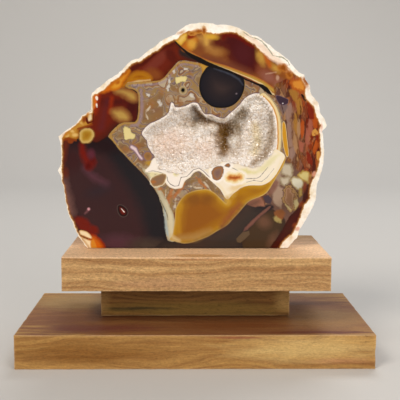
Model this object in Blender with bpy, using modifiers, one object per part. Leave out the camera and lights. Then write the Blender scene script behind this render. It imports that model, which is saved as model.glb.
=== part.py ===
"""An agate geode, sawn open and stood on its sawn-flat foot on a stacked wooden stand.

Metres, +Z up, seen from -Y with +X to the right. The origin is the centre of the base board's underside.
The stone is a half nodule: a flat polished face with a crystal-lined hollow, a domed natural rind behind it,
and a flat foot sawn across its underside. The stand is two boards with a narrow strip between them.
"""
import math

import bmesh
import bpy
from mathutils import Vector, noise

MM = 0.001
GAP = 0.3 * MM

# The stand's boards: width along X, depth along Y, thickness along Z
BASE_WIDTH = 206.0 * MM
BASE_DEPTH = 101.5 * MM
UPPER_WIDTH = 156.0 * MM
UPPER_DEPTH = 77.0 * MM
BOARD_THICKNESS = 20.0 * MM
SPACER_LENGTH = 116.0 * MM
SPACER_DEPTH = 20.0 * MM
BOARD_SPACING = 22.5 * MM
BOARD_EDGE_EASING = 0.7 * MM
UPPER_SHIFT_X = 0.7 * MM
SPACER_SHIFT_X = 0.3 * MM

UPPER_BOTTOM_Z = BOARD_THICKNESS + BOARD_SPACING
UPPER_TOP_Z = UPPER_BOTTOM_Z + BOARD_THICKNESS

# The stone: its sawn face stands upright, its foot lies on the upper board
FOOT_Z = UPPER_TOP_Z + GAP
FACE_Y = -10.2 * MM
STONE_THICKNESS = 38.0 * MM
DOME_RINGS = 13
DOME_SQUARENESS = 0.72
OUTLINE_STEP = 3.6 * MM

# Outline of the sawn face as (x, height above the foot) in millimetres, anticlockwise from the right of the foot.
# The first stretch lies below the foot: it is the part of the nodule that was sawn off.
FACE_OUTLINE_MM = (
    (-65.2, 0.0), (-58.0, -9.5), (-44.0, -17.5), (-24.0, -22.5), (0.0, -23.0), (24.0, -18.5), (43.0, -10.5),
    (56.3, 0.0), (59.0, 2.5), (62.0, 6.5), (63.5, 11.0), (67.5, 17.5), (71.0, 24.5), (73.0, 30.0), (73.5, 35.5),
    (74.0, 40.0), (76.0, 45.5), (77.5, 52.0), (77.0, 64.5), (76.0, 71.0), (79.0, 74.5), (77.5, 78.5), (74.5, 82.5),
    (74.0, 88.0), (69.0, 93.0), (68.0, 98.5), (65.5, 102.0), (64.5, 105.0), (58.5, 109.0), (55.0, 113.5),
    (47.5, 119.0), (39.0, 126.0), (32.5, 128.0), (27.5, 130.5), (22.0, 133.0), (11.5, 133.7), (10.5, 134.5),
    (3.0, 134.5), (-3.5, 134.0), (-9.0, 130.5), (-16.5, 126.0), (-21.5, 123.5), (-27.0, 119.0), (-34.0, 113.5),
    (-37.5, 113.0), (-41.0, 110.0), (-43.0, 107.0), (-52.0, 101.5), (-59.5, 95.0), (-61.5, 93.5), (-62.0, 86.5),
    (-62.5, 82.5), (-68.0, 80.0), (-71.5, 75.5), (-78.5, 70.0), (-82.0, 67.5), (-80.5, 55.5), (-81.0, 50.5),
    (-83.0, 47.0), (-80.5, 43.0), (-78.5, 31.5), (-78.0, 23.5), (-75.5, 18.0), (-71.0, 7.5),
)
STONE_CENTRE_X = -1.5 * MM
STONE_CENTRE_HEIGHT = 55.0 * MM
# Behind the face the outline's corners die out over this depth, into its own rounder form
ROUNDING_DEPTH = 15.0 * MM
ROUNDING_REACH = math.radians(34.0)

# Lumps of the natural rind: (size of a lump, how far it stands out)
RIND_LUMPS = ((38.0 * MM, 3.2 * MM), (15.0 * MM, 1.7 * MM), (8.0 * MM, 0.7 * MM))

# Mouth of the hollow in the sawn face as (x, height above the foot) in millimetres
HOLLOW_OUTLINE_MM = (
    (-31.0, 70.0), (-26.5, 74.5), (-18.0, 79.0), (-15.5, 81.0), (-14.0, 85.0), (-8.5, 84.5), (-2.0, 87.0),
    (1.0, 86.5), (5.0, 80.5), (9.5, 80.0), (17.0, 77.5), (21.0, 81.0), (25.5, 84.5), (30.5, 90.5), (34.5, 92.5),
    (38.0, 92.5), (43.5, 87.5), (47.0, 78.5), (48.0, 66.0), (47.5, 60.0), (39.5, 51.0), (34.5, 49.5),
    (25.0, 52.0), (17.0, 54.0), (10.0, 50.0), (6.0, 48.5), (-1.5, 50.0), (-8.5, 45.5), (-21.5, 48.5),
    (-23.5, 56.0), (-28.0, 65.5),
)
HOLLOW_CENTRE_X = 12.0 * MM
HOLLOW_CENTRE_HEIGHT = 66.0 * MM
HOLLOW_RINGS = 7
HOLLOW_STEP = 3.4 * MM
HOLLOW_MOUTH_OVERRUN = 3.0 * MM
# The hollow's wall curves down over this distance from its mouth
HOLLOW_WALL_REACH = 7.5 * MM
# Floor of the hollow: a shallow level, and pockets as (x, height, half width, half height, extra depth)
HOLLOW_LEVEL_DEPTH = 7.0 * MM
HOLLOW_POCKETS = (
    (33.5 * MM, 70.0 * MM, 15.5 * MM, 19.0 * MM, 10.5 * MM),
    (7.0 * MM, 76.0 * MM, 9.0 * MM, 6.5 * MM, 5.5 * MM),
)

# Finishes as (red, green, blue), roughness
AGATE_FINISH = ((0.36, 0.17, 0.10), 0.12)
UPPER_WOOD_FINISH = ((0.50, 0.31, 0.16), 0.55)
SPACER_WOOD_FINISH = ((0.40, 0.26, 0.11), 0.60)
BASE_WOOD_FINISH = ((0.42, 0.25, 0.11), 0.55)


def clear_scene():
    for item in list(bpy.data.objects):
        bpy.data.objects.remove(item, do_unlink=True)


def new_collection(name):
    collection = bpy.data.collections.new(name)
    bpy.context.scene.collection.children.link(collection)
    return collection


def move_to_collection(item, collection):
    for holder in list(item.users_collection):
        holder.objects.unlink(item)
    collection.objects.link(item)


def finish(name, look):
    colour, roughness = look
    material = bpy.data.materials.new(name)
    material.use_nodes = True
    shader = material.node_tree.nodes["Principled BSDF"]
    shader.inputs["Base Color"].default_value = (*colour, 1.0)
    shader.inputs["Roughness"].default_value = roughness
    shader.inputs["Metallic"].default_value = 0.0
    return material


# Wooden pieces

def wooden_board(name, size, centre, look, collection):
    """A planed board with lightly eased edges."""
    bpy.ops.mesh.primitive_cube_add(size=1.0, location=centre)
    board = bpy.context.active_object
    board.name = name
    board.data.name = name
    board.scale = size
    bpy.ops.object.transform_apply(location=False, rotation=False, scale=True)
    easing = board.modifiers.new("eased edges", "BEVEL")
    easing.width = BOARD_EDGE_EASING
    easing.segments = 2
    easing.limit_method = "ANGLE"
    board.data.materials.append(finish(name + "_wood", look))
    move_to_collection(board, collection)
    return board


def build_stand(collection):
    wooden_board(
        "base_board",
        (BASE_WIDTH, BASE_DEPTH, BOARD_THICKNESS),
        (0.0, 0.0, BOARD_THICKNESS / 2),
        BASE_WOOD_FINISH,
        collection,
    )
    wooden_board(
        "spacer_strip",
        (SPACER_LENGTH, SPACER_DEPTH, BOARD_SPACING - 2 * GAP),
        (SPACER_SHIFT_X, 0.0, BOARD_THICKNESS + BOARD_SPACING / 2),
        SPACER_WOOD_FINISH,
        collection,
    )
    wooden_board(
        "upper_board",
        (UPPER_WIDTH, UPPER_DEPTH, BOARD_THICKNESS),
        (UPPER_SHIFT_X, 0.0, UPPER_BOTTOM_Z + BOARD_THICKNESS / 2),
        UPPER_WOOD_FINISH,
        collection,
    )


# The stone

def outline_points(outline_mm, step):
    """The outline's corners in metres, with points added so that no stretch is longer than step."""
    corners = [(x * MM, FOOT_Z + height * MM) for x, height in outline_mm]
    points = []
    for (x0, z0), (x1, z1) in zip(corners, corners[1:] + corners[:1]):
        pieces = max(1, math.ceil(math.hypot(x1 - x0, z1 - z0) / step))
        for i in range(pieces):
            t = i / pieces
            points.append((x0 + (x1 - x0) * t, z0 + (z1 - z0) * t))
    return points


def rounded_outline(outline):
    """The outline with its corners averaged away: each point's reach is its neighbours' mean by angle."""
    centre_z = FOOT_Z + STONE_CENTRE_HEIGHT
    polar = []
    for x, z in outline:
        angle = math.atan2(z - centre_z, x - STONE_CENTRE_X)
        polar.append((angle, math.hypot(x - STONE_CENTRE_X, z - centre_z)))
    rounded = []
    for angle, _ in polar:
        total = weight_sum = 0.0
        for other, reach in polar:
            away = math.remainder(other - angle, 2.0 * math.pi) / ROUNDING_REACH
            if abs(away) < 1.0:
                weight = (1.0 - away * away) ** 2
                total += weight * reach
                weight_sum += weight
        mean = total / weight_sum
        rounded.append((STONE_CENTRE_X + mean * math.cos(angle), centre_z + mean * math.sin(angle)))
    return rounded


def rind_lump(point):
    return sum(height * noise.noise(point / size) for size, height in RIND_LUMPS)


def dome_point(sawn, rounded, turn):
    """A point of the rind: the sawn outline carried back to its rounder, smaller section as turn goes 0 to 1."""
    centre_z = FOOT_Z + STONE_CENTRE_HEIGHT
    angle = turn * math.pi / 2
    depth = STONE_THICKNESS * math.sin(angle)
    roundness = min(1.0, depth / ROUNDING_DEPTH)
    roundness = roundness * roundness * (3.0 - 2.0 * roundness)
    section = math.cos(angle) ** DOME_SQUARENESS
    reach_x = (sawn[0] + (rounded[0] - sawn[0]) * roundness - STONE_CENTRE_X) * section
    reach_z = (sawn[1] + (rounded[1] - sawn[1]) * roundness - centre_z) * section
    point = Vector((STONE_CENTRE_X + reach_x, FACE_Y + depth, centre_z + reach_z))
    outward = Vector((reach_x, depth, reach_z)).normalized()
    return point + outward * rind_lump(point) * min(1.0, 3.0 * turn)


def loft(rings, tip):
    """A closed solid through rings of equal count, with a flat first ring and a single last point."""
    solid = bmesh.new()
    rows = [[solid.verts.new(point) for point in ring] for ring in rings]
    last = solid.verts.new(tip)
    count = len(rows[0])
    solid.faces.new(rows[0])
    for near, far in zip(rows, rows[1:]):
        for i in range(count):
            j = (i + 1) % count
            solid.faces.new((near[i], far[i], far[j], near[j]))
    for i in range(count):
        solid.faces.new((rows[-1][i], last, rows[-1][(i + 1) % count]))
    bmesh.ops.recalc_face_normals(solid, faces=solid.faces)
    return solid


def whole_nodule():
    """The half nodule as lofted from its sawn face, before the foot is sawn."""
    outline = outline_points(FACE_OUTLINE_MM, OUTLINE_STEP)
    rounded = rounded_outline(outline)
    rings = []
    for ring in range(DOME_RINGS):
        turn = ring / DOME_RINGS
        rings.append([dome_point(sawn, soft, turn) for sawn, soft in zip(outline, rounded)])
    back = Vector((STONE_CENTRE_X, FACE_Y + STONE_THICKNESS, FOOT_Z + STONE_CENTRE_HEIGHT))
    return loft(rings, back)


def saw_foot(solid):
    geometry = solid.verts[:] + solid.edges[:] + solid.faces[:]
    cut = bmesh.ops.bisect_plane(
        solid, geom=geometry, plane_co=(0.0, 0.0, FOOT_Z), plane_no=(0.0, 0.0, -1.0), clear_outer=True
    )
    edges = [item for item in cut["geom_cut"] if isinstance(item, bmesh.types.BMEdge)]
    bmesh.ops.edgeloop_fill(solid, edges=edges)
    bmesh.ops.recalc_face_normals(solid, faces=solid.faces)


def distance_to_outline(x, z, outline):
    nearest = math.inf
    for (x0, z0), (x1, z1) in zip(outline, outline[1:] + outline[:1]):
        along_x = x1 - x0
        along_z = z1 - z0
        share = ((x - x0) * along_x + (z - z0) * along_z) / (along_x ** 2 + along_z ** 2)
        share = max(0.0, min(1.0, share))
        nearest = min(nearest, math.hypot(x - x0 - along_x * share, z - z0 - along_z * share))
    return nearest


def hollow_depth(x, z, outline):
    """Depth of the hollow below the sawn face."""
    floor = HOLLOW_LEVEL_DEPTH
    for pocket_x, pocket_height, half_width, half_height, extra in HOLLOW_POCKETS:
        across = (x - pocket_x) / half_width
        up = (z - FOOT_Z - pocket_height) / half_height
        floor += extra * math.exp(-((across * across + up * up) ** 2))
    inset = min(1.0, distance_to_outline(x, z, outline) / HOLLOW_WALL_REACH)
    return floor * math.sqrt(1.0 - (1.0 - inset) ** 2)


def hollow_cutter(collection):
    """The solid that cuts the hollow: its mouth stands a little in front of the sawn face."""
    outline = outline_points(HOLLOW_OUTLINE_MM, HOLLOW_STEP)
    centre_z = FOOT_Z + HOLLOW_CENTRE_HEIGHT
    rings = [[Vector((x, FACE_Y - HOLLOW_MOUTH_OVERRUN, z)) for x, z in outline]]
    for ring in range(HOLLOW_RINGS):
        share = math.cos(ring / HOLLOW_RINGS * math.pi / 2)
        row = []
        for x, z in outline:
            inner_x = HOLLOW_CENTRE_X + (x - HOLLOW_CENTRE_X) * share
            inner_z = centre_z + (z - centre_z) * share
            row.append(Vector((inner_x, FACE_Y + hollow_depth(inner_x, inner_z, outline), inner_z)))
        rings.append(row)
    middle = Vector((HOLLOW_CENTRE_X, FACE_Y + hollow_depth(HOLLOW_CENTRE_X, centre_z, outline), centre_z))
    solid = loft(rings, middle)
    mesh = bpy.data.meshes.new("hollow_cutter")
    solid.to_mesh(mesh)
    solid.free()
    cutter = bpy.data.objects.new("hollow_cutter", mesh)
    cutter.hide_render = True
    cutter.display_type = "WIRE"
    collection.objects.link(cutter)
    return cutter


def build_geode(collection, cutters):
    solid = whole_nodule()
    saw_foot(solid)
    mesh = bpy.data.meshes.new("agate_geode")
    solid.to_mesh(mesh)
    solid.free()
    stone = bpy.data.objects.new("agate_geode", mesh)
    collection.objects.link(stone)
    hollow = stone.modifiers.new("crystal hollow", "BOOLEAN")
    hollow.operation = "DIFFERENCE"
    hollow.solver = "EXACT"
    hollow.object = hollow_cutter(cutters)
    mesh.materials.append(finish("agate", AGATE_FINISH))
    mesh.shade_smooth()
    mesh.set_sharp_from_angle(angle=math.radians(40.0))
    return stone


def main():
    clear_scene()
    parts = new_collection("agate_geode_on_stand")
    cutters = new_collection("cutters")
    build_stand(parts)
    build_geode(parts, cutters)


main()
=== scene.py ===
"""Looks of a sawn agate geode on its stacked wooden stand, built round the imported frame.

Sizes are millimetres times MM. Places on the polished face are photo pixels on a 400 x 400 picture, carried
to the face through the camera. The frame's axes: +X right, +Y away from the viewer, +Z up.
"""
import math
from collections import namedtuple

import bmesh
import bpy
import numpy as np
from mathutils import Matrix, Vector, geometry, kdtree, noise


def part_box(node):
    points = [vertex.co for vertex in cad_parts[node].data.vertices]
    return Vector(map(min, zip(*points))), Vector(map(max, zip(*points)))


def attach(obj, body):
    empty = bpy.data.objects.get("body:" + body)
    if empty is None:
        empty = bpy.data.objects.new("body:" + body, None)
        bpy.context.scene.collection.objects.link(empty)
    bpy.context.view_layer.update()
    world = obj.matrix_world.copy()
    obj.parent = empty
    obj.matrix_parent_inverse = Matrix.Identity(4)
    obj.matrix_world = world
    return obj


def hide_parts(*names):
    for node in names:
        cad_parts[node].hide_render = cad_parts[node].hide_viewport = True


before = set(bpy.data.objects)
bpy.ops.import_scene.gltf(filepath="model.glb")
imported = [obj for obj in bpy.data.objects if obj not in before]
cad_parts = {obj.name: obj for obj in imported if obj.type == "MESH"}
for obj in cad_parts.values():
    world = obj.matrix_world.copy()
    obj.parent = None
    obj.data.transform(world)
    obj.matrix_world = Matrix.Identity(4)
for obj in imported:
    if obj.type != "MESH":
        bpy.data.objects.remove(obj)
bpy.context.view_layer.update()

MM = 0.001
PHOTO_SIDE = 400
# Two photo pixels on the face, at the height of its middle, between which its scale is taken
SCALE_LEFT = 150
SCALE_RIGHT = 250
FACE_MIDDLE = 150
# Lines between two corners of a rounded shape
CURVE_PIECES = 4

# Camera, fitted to the boards' corners
CAMERA_PLACE_MM = (-5.43, -502.48, 153.84)
CAMERA_LOOKS_DOWN = 0.1244
CAMERA_LOOKS_RIGHT = 0.0169
CAMERA_TURN = 0.0038
LENS_MM = 73.76
SENSOR_MM = 36.0

# The stone, as in the frame
STONE_LOW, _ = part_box("agate_geode")
FOOT_Z = STONE_LOW.z
FACE_Y = STONE_LOW.y
STONE_THICKNESS = 38.0 * MM
STONE_CENTRE_X = -1.5 * MM
STONE_CENTRE_Z = FOOT_Z + 55.0 * MM
DOME_SQUARENESS = 0.72
ROUNDING_DEPTH = 15.0 * MM
ROUNDING_REACH = math.radians(34.0)
RIND_LUMPS = ((38.0 * MM, 3.2 * MM), (15.0 * MM, 1.7 * MM), (8.0 * MM, 0.7 * MM))
RIND_GRAINS = ((3.6 * MM, 0.55 * MM), (1.9 * MM, 0.30 * MM))
# How much faster than the rind turns to the back its lumps and grains rise from the rim to their full height
LUMPS_RISE = 3.0
GRAINS_RISE = 25.0
PIT_SIZE = 5.5 * MM
PIT_DEPTH = 0.9 * MM
PIT_LEVEL = 0.28
PIT_SEED = Vector((4.0, 1.0, 8.0))
RIND_RINGS = 54
FACE_STEP = 0.74 * MM
# The least room between the face's grid points and its fixed lines, and between a vein's line and the rim or
# mouth; where a vein's line is cut by more than the last, it stays open
GRID_GAP = 0.5 * FACE_STEP
LINE_TO_RIM = 0.6 * FACE_STEP
LINE_TO_MOUTH = 0.3 * FACE_STEP
LINE_BREAK = 1.5 * FACE_STEP
GREATEST_DISTANCE = 15.0 * MM
# How far the rind stands back from the polished plane, in millimetres, and the lumps in it as (size, seed,
# height in millimetres)
SETBACK = 0.30
SETBACK_LUMPS = ((3.0 * MM, 0.0, 0.45), (1.3 * MM, 7.0, 0.30))
SETBACK_REACH = 0.6 * MM
SHARP_ANGLE = math.radians(38.0)

# Outline of the stone's face in photo pixels, clockwise as seen, from the left of the foot over the top to
# the right of the foot: x, y, and how wide the white rind shows there
SILHOUETTE_PX = (
    (87.7, 248.3, 1.6), (83.2, 242.7, 1.4), (78.2, 236, 1.4), (74.9, 229.5, 1.3), (70.7, 218.7, 1.4),
    (66.6, 209.5, 1.2), (64.9, 196.3, 0.7), (63.7, 188, 0.6), (61.2, 177.6, 1.2), (57.6, 171, 4.2),
    (60.8, 165.2, 1.5), (61.2, 156.5, 1), (60.4, 145.7, 1.4), (58.3, 136.6, 3.4), (64.1, 132.4, 2.4),
    (70.7, 127.5, 1.4), (75.7, 123.7, 1.2), (79.4, 118.8, 1.6), (81.6, 115.6, 1.3), (87.5, 112.3, 1.6),
    (91, 111.2, 1.8), (91, 104.7, 1.4), (91, 96.1, 1.8), (92.1, 92.8, 3), (95.1, 90.1, 4.2), (102.2, 84.7, 5),
    (108.4, 79.8, 4), (114.6, 76, 3.6), (122.8, 70, 3), (126.5, 64.6, 3), (132, 60.3, 3.2),
    (138.5, 58.7, 3.2), (150, 49.4, 4.2), (154.9, 46.6, 4.4), (159.1, 42, 5), (167.5, 37.5, 5),
    (174.6, 34.3, 5), (180.2, 30.1, 5), (185.1, 26.2, 6), (190, 24.1, 7.5), (200.5, 23.1, 8.5),
    (213.2, 23.1, 9.5), (215.3, 24.8, 9), (227.2, 24.5, 7.5), (232.8, 26.2, 6), (239.1, 28, 5.5),
    (242.6, 30.1, 5.5), (246.8, 31.8, 6), (250.4, 35, 6.5), (255.3, 36, 7.5), (261.5, 38.6, 9),
    (269.1, 44.7, 10), (275.5, 50.4, 9.5), (283.2, 55.5, 8), (288.3, 60, 6), (294, 67.6, 5), (301, 73.7, 4),
    (304.2, 74.6, 3.5), (305.2, 79.1, 3), (309.2, 85.4, 4), (311.1, 94.5, 6.5), (318.9, 103.5, 6),
    (320.1, 112.6, 4.5), (324.6, 119, 6.5), (326.9, 126, 7), (322.3, 131.2, 3), (323.5, 142.7, 3.2),
    (323.9, 152.6, 3.2), (323.9, 163.1, 4.5), (320.8, 173.7, 4.5), (317.3, 182.8, 6), (316.2, 190.5, 7),
    (315.9, 199.6, 6), (312.3, 208.7, 9), (306, 219.9, 6.5), (299, 230.5, 4.5), (296.9, 237.5, 6.5),
    (291.3, 243.8, 7.5), (287.1, 248.6, 8),
)
# The part of the nodule that was sawn off below the foot, as (x, height above the foot) in millimetres
SAWN_OFF_MM = (
    (59, -1.5), (43, -10.5), (24, -18.5), (0, -23), (-24, -22.5), (-44, -17.5), (-58, -9.5), (-68, -1.5),
)
OUTLINE_CHIPS = ((4.2 * MM, 0.40 * MM), (1.7 * MM, 0.30 * MM))
OUTLINE_SEED = 3.7
MOUTH_SEED = 5.2
HOLLOW_SEED = 9.1

# Mouth of the crystal hollow in photo pixels, clockwise as seen
HOLLOW_PX = (
    (143.5, 133), (146, 129.5), (151, 125), (157, 122.5), (165, 118), (169.5, 114), (171.4, 109), (172, 104),
    (173.3, 107.5), (175.5, 109), (181, 108.8), (187, 107), (192, 104.5), (197, 105), (200, 110.5),
    (204, 115.5), (211, 116), (217, 118.5), (224, 120), (231, 114.5), (238, 108.5), (243, 103), (247, 98.5),
    (253, 95.5), (259, 95), (264, 98.5), (268.5, 104), (271.5, 110.5), (274, 119), (275, 128), (275.3, 140),
    (274, 149.5), (267, 158.3), (260.5, 164.3), (252.5, 167.3), (246, 165.5), (237, 163.3), (230, 161.2),
    (223.5, 160), (217, 163.5), (212, 166.5), (205, 169), (198, 166.5), (192.5, 166.5), (187, 170),
    (181.5, 173.5), (176, 173), (167, 170.5), (160, 168.5), (157.5, 164), (156.5, 156.5), (152.5, 151),
    (149.5, 146), (148.3, 140), (145, 136),
)
HOLLOW_LEVEL_DEPTH = 6.0 * MM
HOLLOW_WALL_REACH = 8.5 * MM
HOLLOW_START = 0.05 * MM
# Dips and rises of the hollow's floor: x, y, half width, half height in photo pixels, and extra depth in
# millimetres
HOLLOW_RELIEF = (
    (257, 138, 17, 22, 3), (256, 105, 14, 12, -3), (200, 117, 8, 7, 4), (226, 138, 7, 17, 3.5),
    (238, 117, 12, 8, 1), (211, 129, 7, 5, -2.5), (172, 150, 20, 14, -2), (256, 140, 6, 20, -2.5),
    (208, 152, 12, 10, -1.5), (268, 140, 3.5, 16, 2),
)
RELIEF_STEEPNESS = 1.5
HOLLOW_LUMPS = ((9.0 * MM, 1.3 * MM), (4.0 * MM, 0.9 * MM), (2.2 * MM, 0.5 * MM))

CRYSTALS = 9000
CRYSTAL_WIDTH = (0.7 * MM, 2.2 * MM)
CRYSTAL_SLENDERNESS = (0.35, 0.75)
CRYSTAL_LEAN = 0.3
CRYSTAL_SHOULDER = (0.1, 0.35)
CRYSTAL_SPACING = 0.5 * MM
CRYSTAL_SIDES = 6
CRYSTAL_ROOT = 0.5
CORNER_REACH = (0.85, 1.1)
TIP_SHIFT = 0.15
UPRIGHT_ENOUGH = 0.35
CORNER_TURN = 2 * math.pi / CRYSTAL_SIDES
DRAWS_PER_CRYSTAL = 6
PLACE_SEED, SHAPE_SEED, TONE_SEED = 5, 6, 7


# Markings of the polished face and the hollow, with some painted reflections, painted shade and painted light
# among them.
# Shapes are in photo pixels. A mark's bands are (millimetres inside its outline, colour, cover), from the
# outside in, and a band without a cover has 1. Its wobble says how many millimetres coarse and fine noise
# move its outline. A fill is a pattern that takes the place of its colours.

Mark = namedtuple("Mark", "name bands shapes wobble fill")


def mark(name, bands, *shapes, wobble=(0.25, 0.15), fill=None):
    return Mark(name, tuple((*band, 1.0)[:3] for band in bands), shapes, wobble, fill)


def area(*corners):
    """A region with rounded corners."""
    return "area", corners


def shard(*corners):
    """A region with sharp corners."""
    return "shard", corners


def oval(x, y, half_width, half_height, turn=0.0):
    return "oval", (x, y, half_width, half_height, turn)


def vein(*points):
    """An open line: x, y and half its width at each point."""
    return "vein", points


def flat(colour, edge, cover=1.0):
    """Bands of one colour, fading over edge millimetres."""
    return (-edge / 2, colour, 0.0), (edge / 2, colour, cover)


DARK_LOBE = (
    mark("dark_lobe", ((-0.2, "#1d1517", 0), (0.1, "#1d1517"), (3, "#26181a"), (9, "#381f20")),
        area((61, 140), (80, 138), (95, 142), (104, 136), (108, 136), (112, 138.5), (115, 141), (120, 149),
            (125, 155), (130, 160), (140, 170), (146, 176), (151.5, 183), (156, 191), (160, 200), (163, 210),
            (165, 222), (166, 232), (167, 239), (171, 244), (176, 252), (87, 252), (74, 229), (64, 209),
            (58, 190), (56, 171), (58, 150))),
    mark("lobe_middle", flat("#351d1f", 9, 0.7), oval(112, 184, 27, 26, 20), wobble=(1.5, 0.3)),
    mark("lobe_shade", flat("#1d1a1e", 8, 0.95),
        vein((107, 146, 5), (120, 160, 8), (136, 180, 10), (150, 205, 11), (156, 232, 10)),
        wobble=(1.5, 0.3)),
    mark("lobe_top", flat("#231214", 5, 0.9), oval(104, 146, 13, 7, 10), wobble=(1, 0.2)),
    mark("lobe_rim", flat("#6d4a44", 4.5, 0.9), vein((64, 180, 3), (66, 195, 5), (71, 212, 4)),
        wobble=(1, 0.3)),
    # Painted reflection: a faint mauve haze on the upper left of the dark lobe
    mark("lobe_painted_reflection", flat("#54303a", 4, 0.85), vein((84, 168, 2), (93, 177, 3), (106, 184, 3)),
        wobble=(1.2, 0.3)),
    mark("lobe_blue", flat("#2e2026", 5, 0.8), oval(98, 191, 11, 5, -20), wobble=(1, 0.3)),
    mark("lobe_low", flat("#53303a", 6, 0.85), oval(118, 243, 17, 8), wobble=(1, 0.3)),
    mark("lobe_low_grey", flat("#463a33", 5, 0.9), oval(147, 245, 16, 6), wobble=(1, 0.3)),
    mark("left_shade", flat("#38191a", 4.5, 0.9), oval(72, 162, 8, 10), wobble=(1, 0.3)),
    mark("left_rust", flat("#5f2412", 2.5, 0.95), vein((66, 141, 3), (64.5, 155, 2), (63.5, 164, 1.5)),
        oval(65, 173, 3, 5), wobble=(0.6, 0.3)),
    mark("red_stains", flat("#6c1509", 3.4),
        vein((82, 145, 2.4), (83.5, 153, 3.6), (86.6, 161, 3.8), (89.6, 166, 3.8), (93, 161, 2.6)),
        wobble=(1.2, 0.4)),
    mark("red_depths", flat("#520501", 2.4), oval(88.5, 166, 3, 3.6, 20), oval(92.8, 160, 2, 3),
        wobble=(0.8, 0.4)),
    # Painted reflection: a faint mauve veil over the red stains
    mark("red_painted_reflection", flat("#5b2633", 2.4, 0.9), oval(91, 154, 3.6, 4.6)),
    mark("low_red", flat("#6a1606", 2.4),
        area((74, 219), (78, 216.5), (83, 217.5), (88, 221), (91, 225), (97, 227), (98.5, 232), (95, 237),
            (98, 243), (103, 250), (92, 251), (90, 240), (86, 233), (80, 229), (76, 224)), wobble=(0.8, 0.3)),
    mark("low_orange", ((-1.2, "#7d2105", 0), (0, "#8e2b05"), (2.2, "#c8600e")),
        area((89, 236), (94, 235), (98, 238), (101, 241), (104, 246), (105, 251), (88, 251), (88, 243)),
        wobble=(0.6, 0.2)),
    mark("foot_creams", ((-0.2, "#b98a52", 0), (0.15, "#c99b60"), (0.8, "#efd9b2")),
        area((79, 230.8), (82, 230.2), (86, 231.3), (90, 234.3), (92.3, 238), (90, 239), (84, 236.3),
            (80, 234.5)),
        area((79, 236), (84, 238), (89, 240), (91.5, 241), (91, 245), (92.5, 251), (86, 251), (80, 243))),
    mark("foot_amber", flat("#d08427", 0.9),
        area((91, 240.5), (93.5, 239.5), (95.5, 243), (96.5, 246), (97.5, 251), (92, 251), (91, 245))),
    mark("foot_line", flat("#8f4518", 0.3), vein((80.5, 235.5, 0.3), (86, 237.5, 0.5), (92, 239.4, 0.4))),
    mark("eye", ((-1.1, "#5c4c46", 0), (-0.7, "#5c4c46", 0.55), (-0.3, "#221414"), (0, "#1a0706"),
            (0.6, "#3a0a05"), (1.6, "#6a180a")),
        area((118.6, 206.4), (121, 206), (124, 207.6), (126.4, 210.4), (126.8, 213.4), (125, 215.4),
            (122, 215.6), (119.8, 213.4), (118.6, 210)), wobble=(0, 0.1)),
    mark("eye_slash", flat("#ecdcd4", 0.3), vein((121.2, 208.6, 0.25), (124.2, 212, 0.55)), wobble=(0, 0)),
    mark("pink_trail", flat("#74484c", 1.2, 0.8), vein((88.4, 210, 1.1), (85, 213.5, 0.7))),
    mark("pink_dot", flat("#cf949c", 0.8), oval(88.7, 209, 1.3, 1.4), wobble=(0, 0.1)),
)

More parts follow.
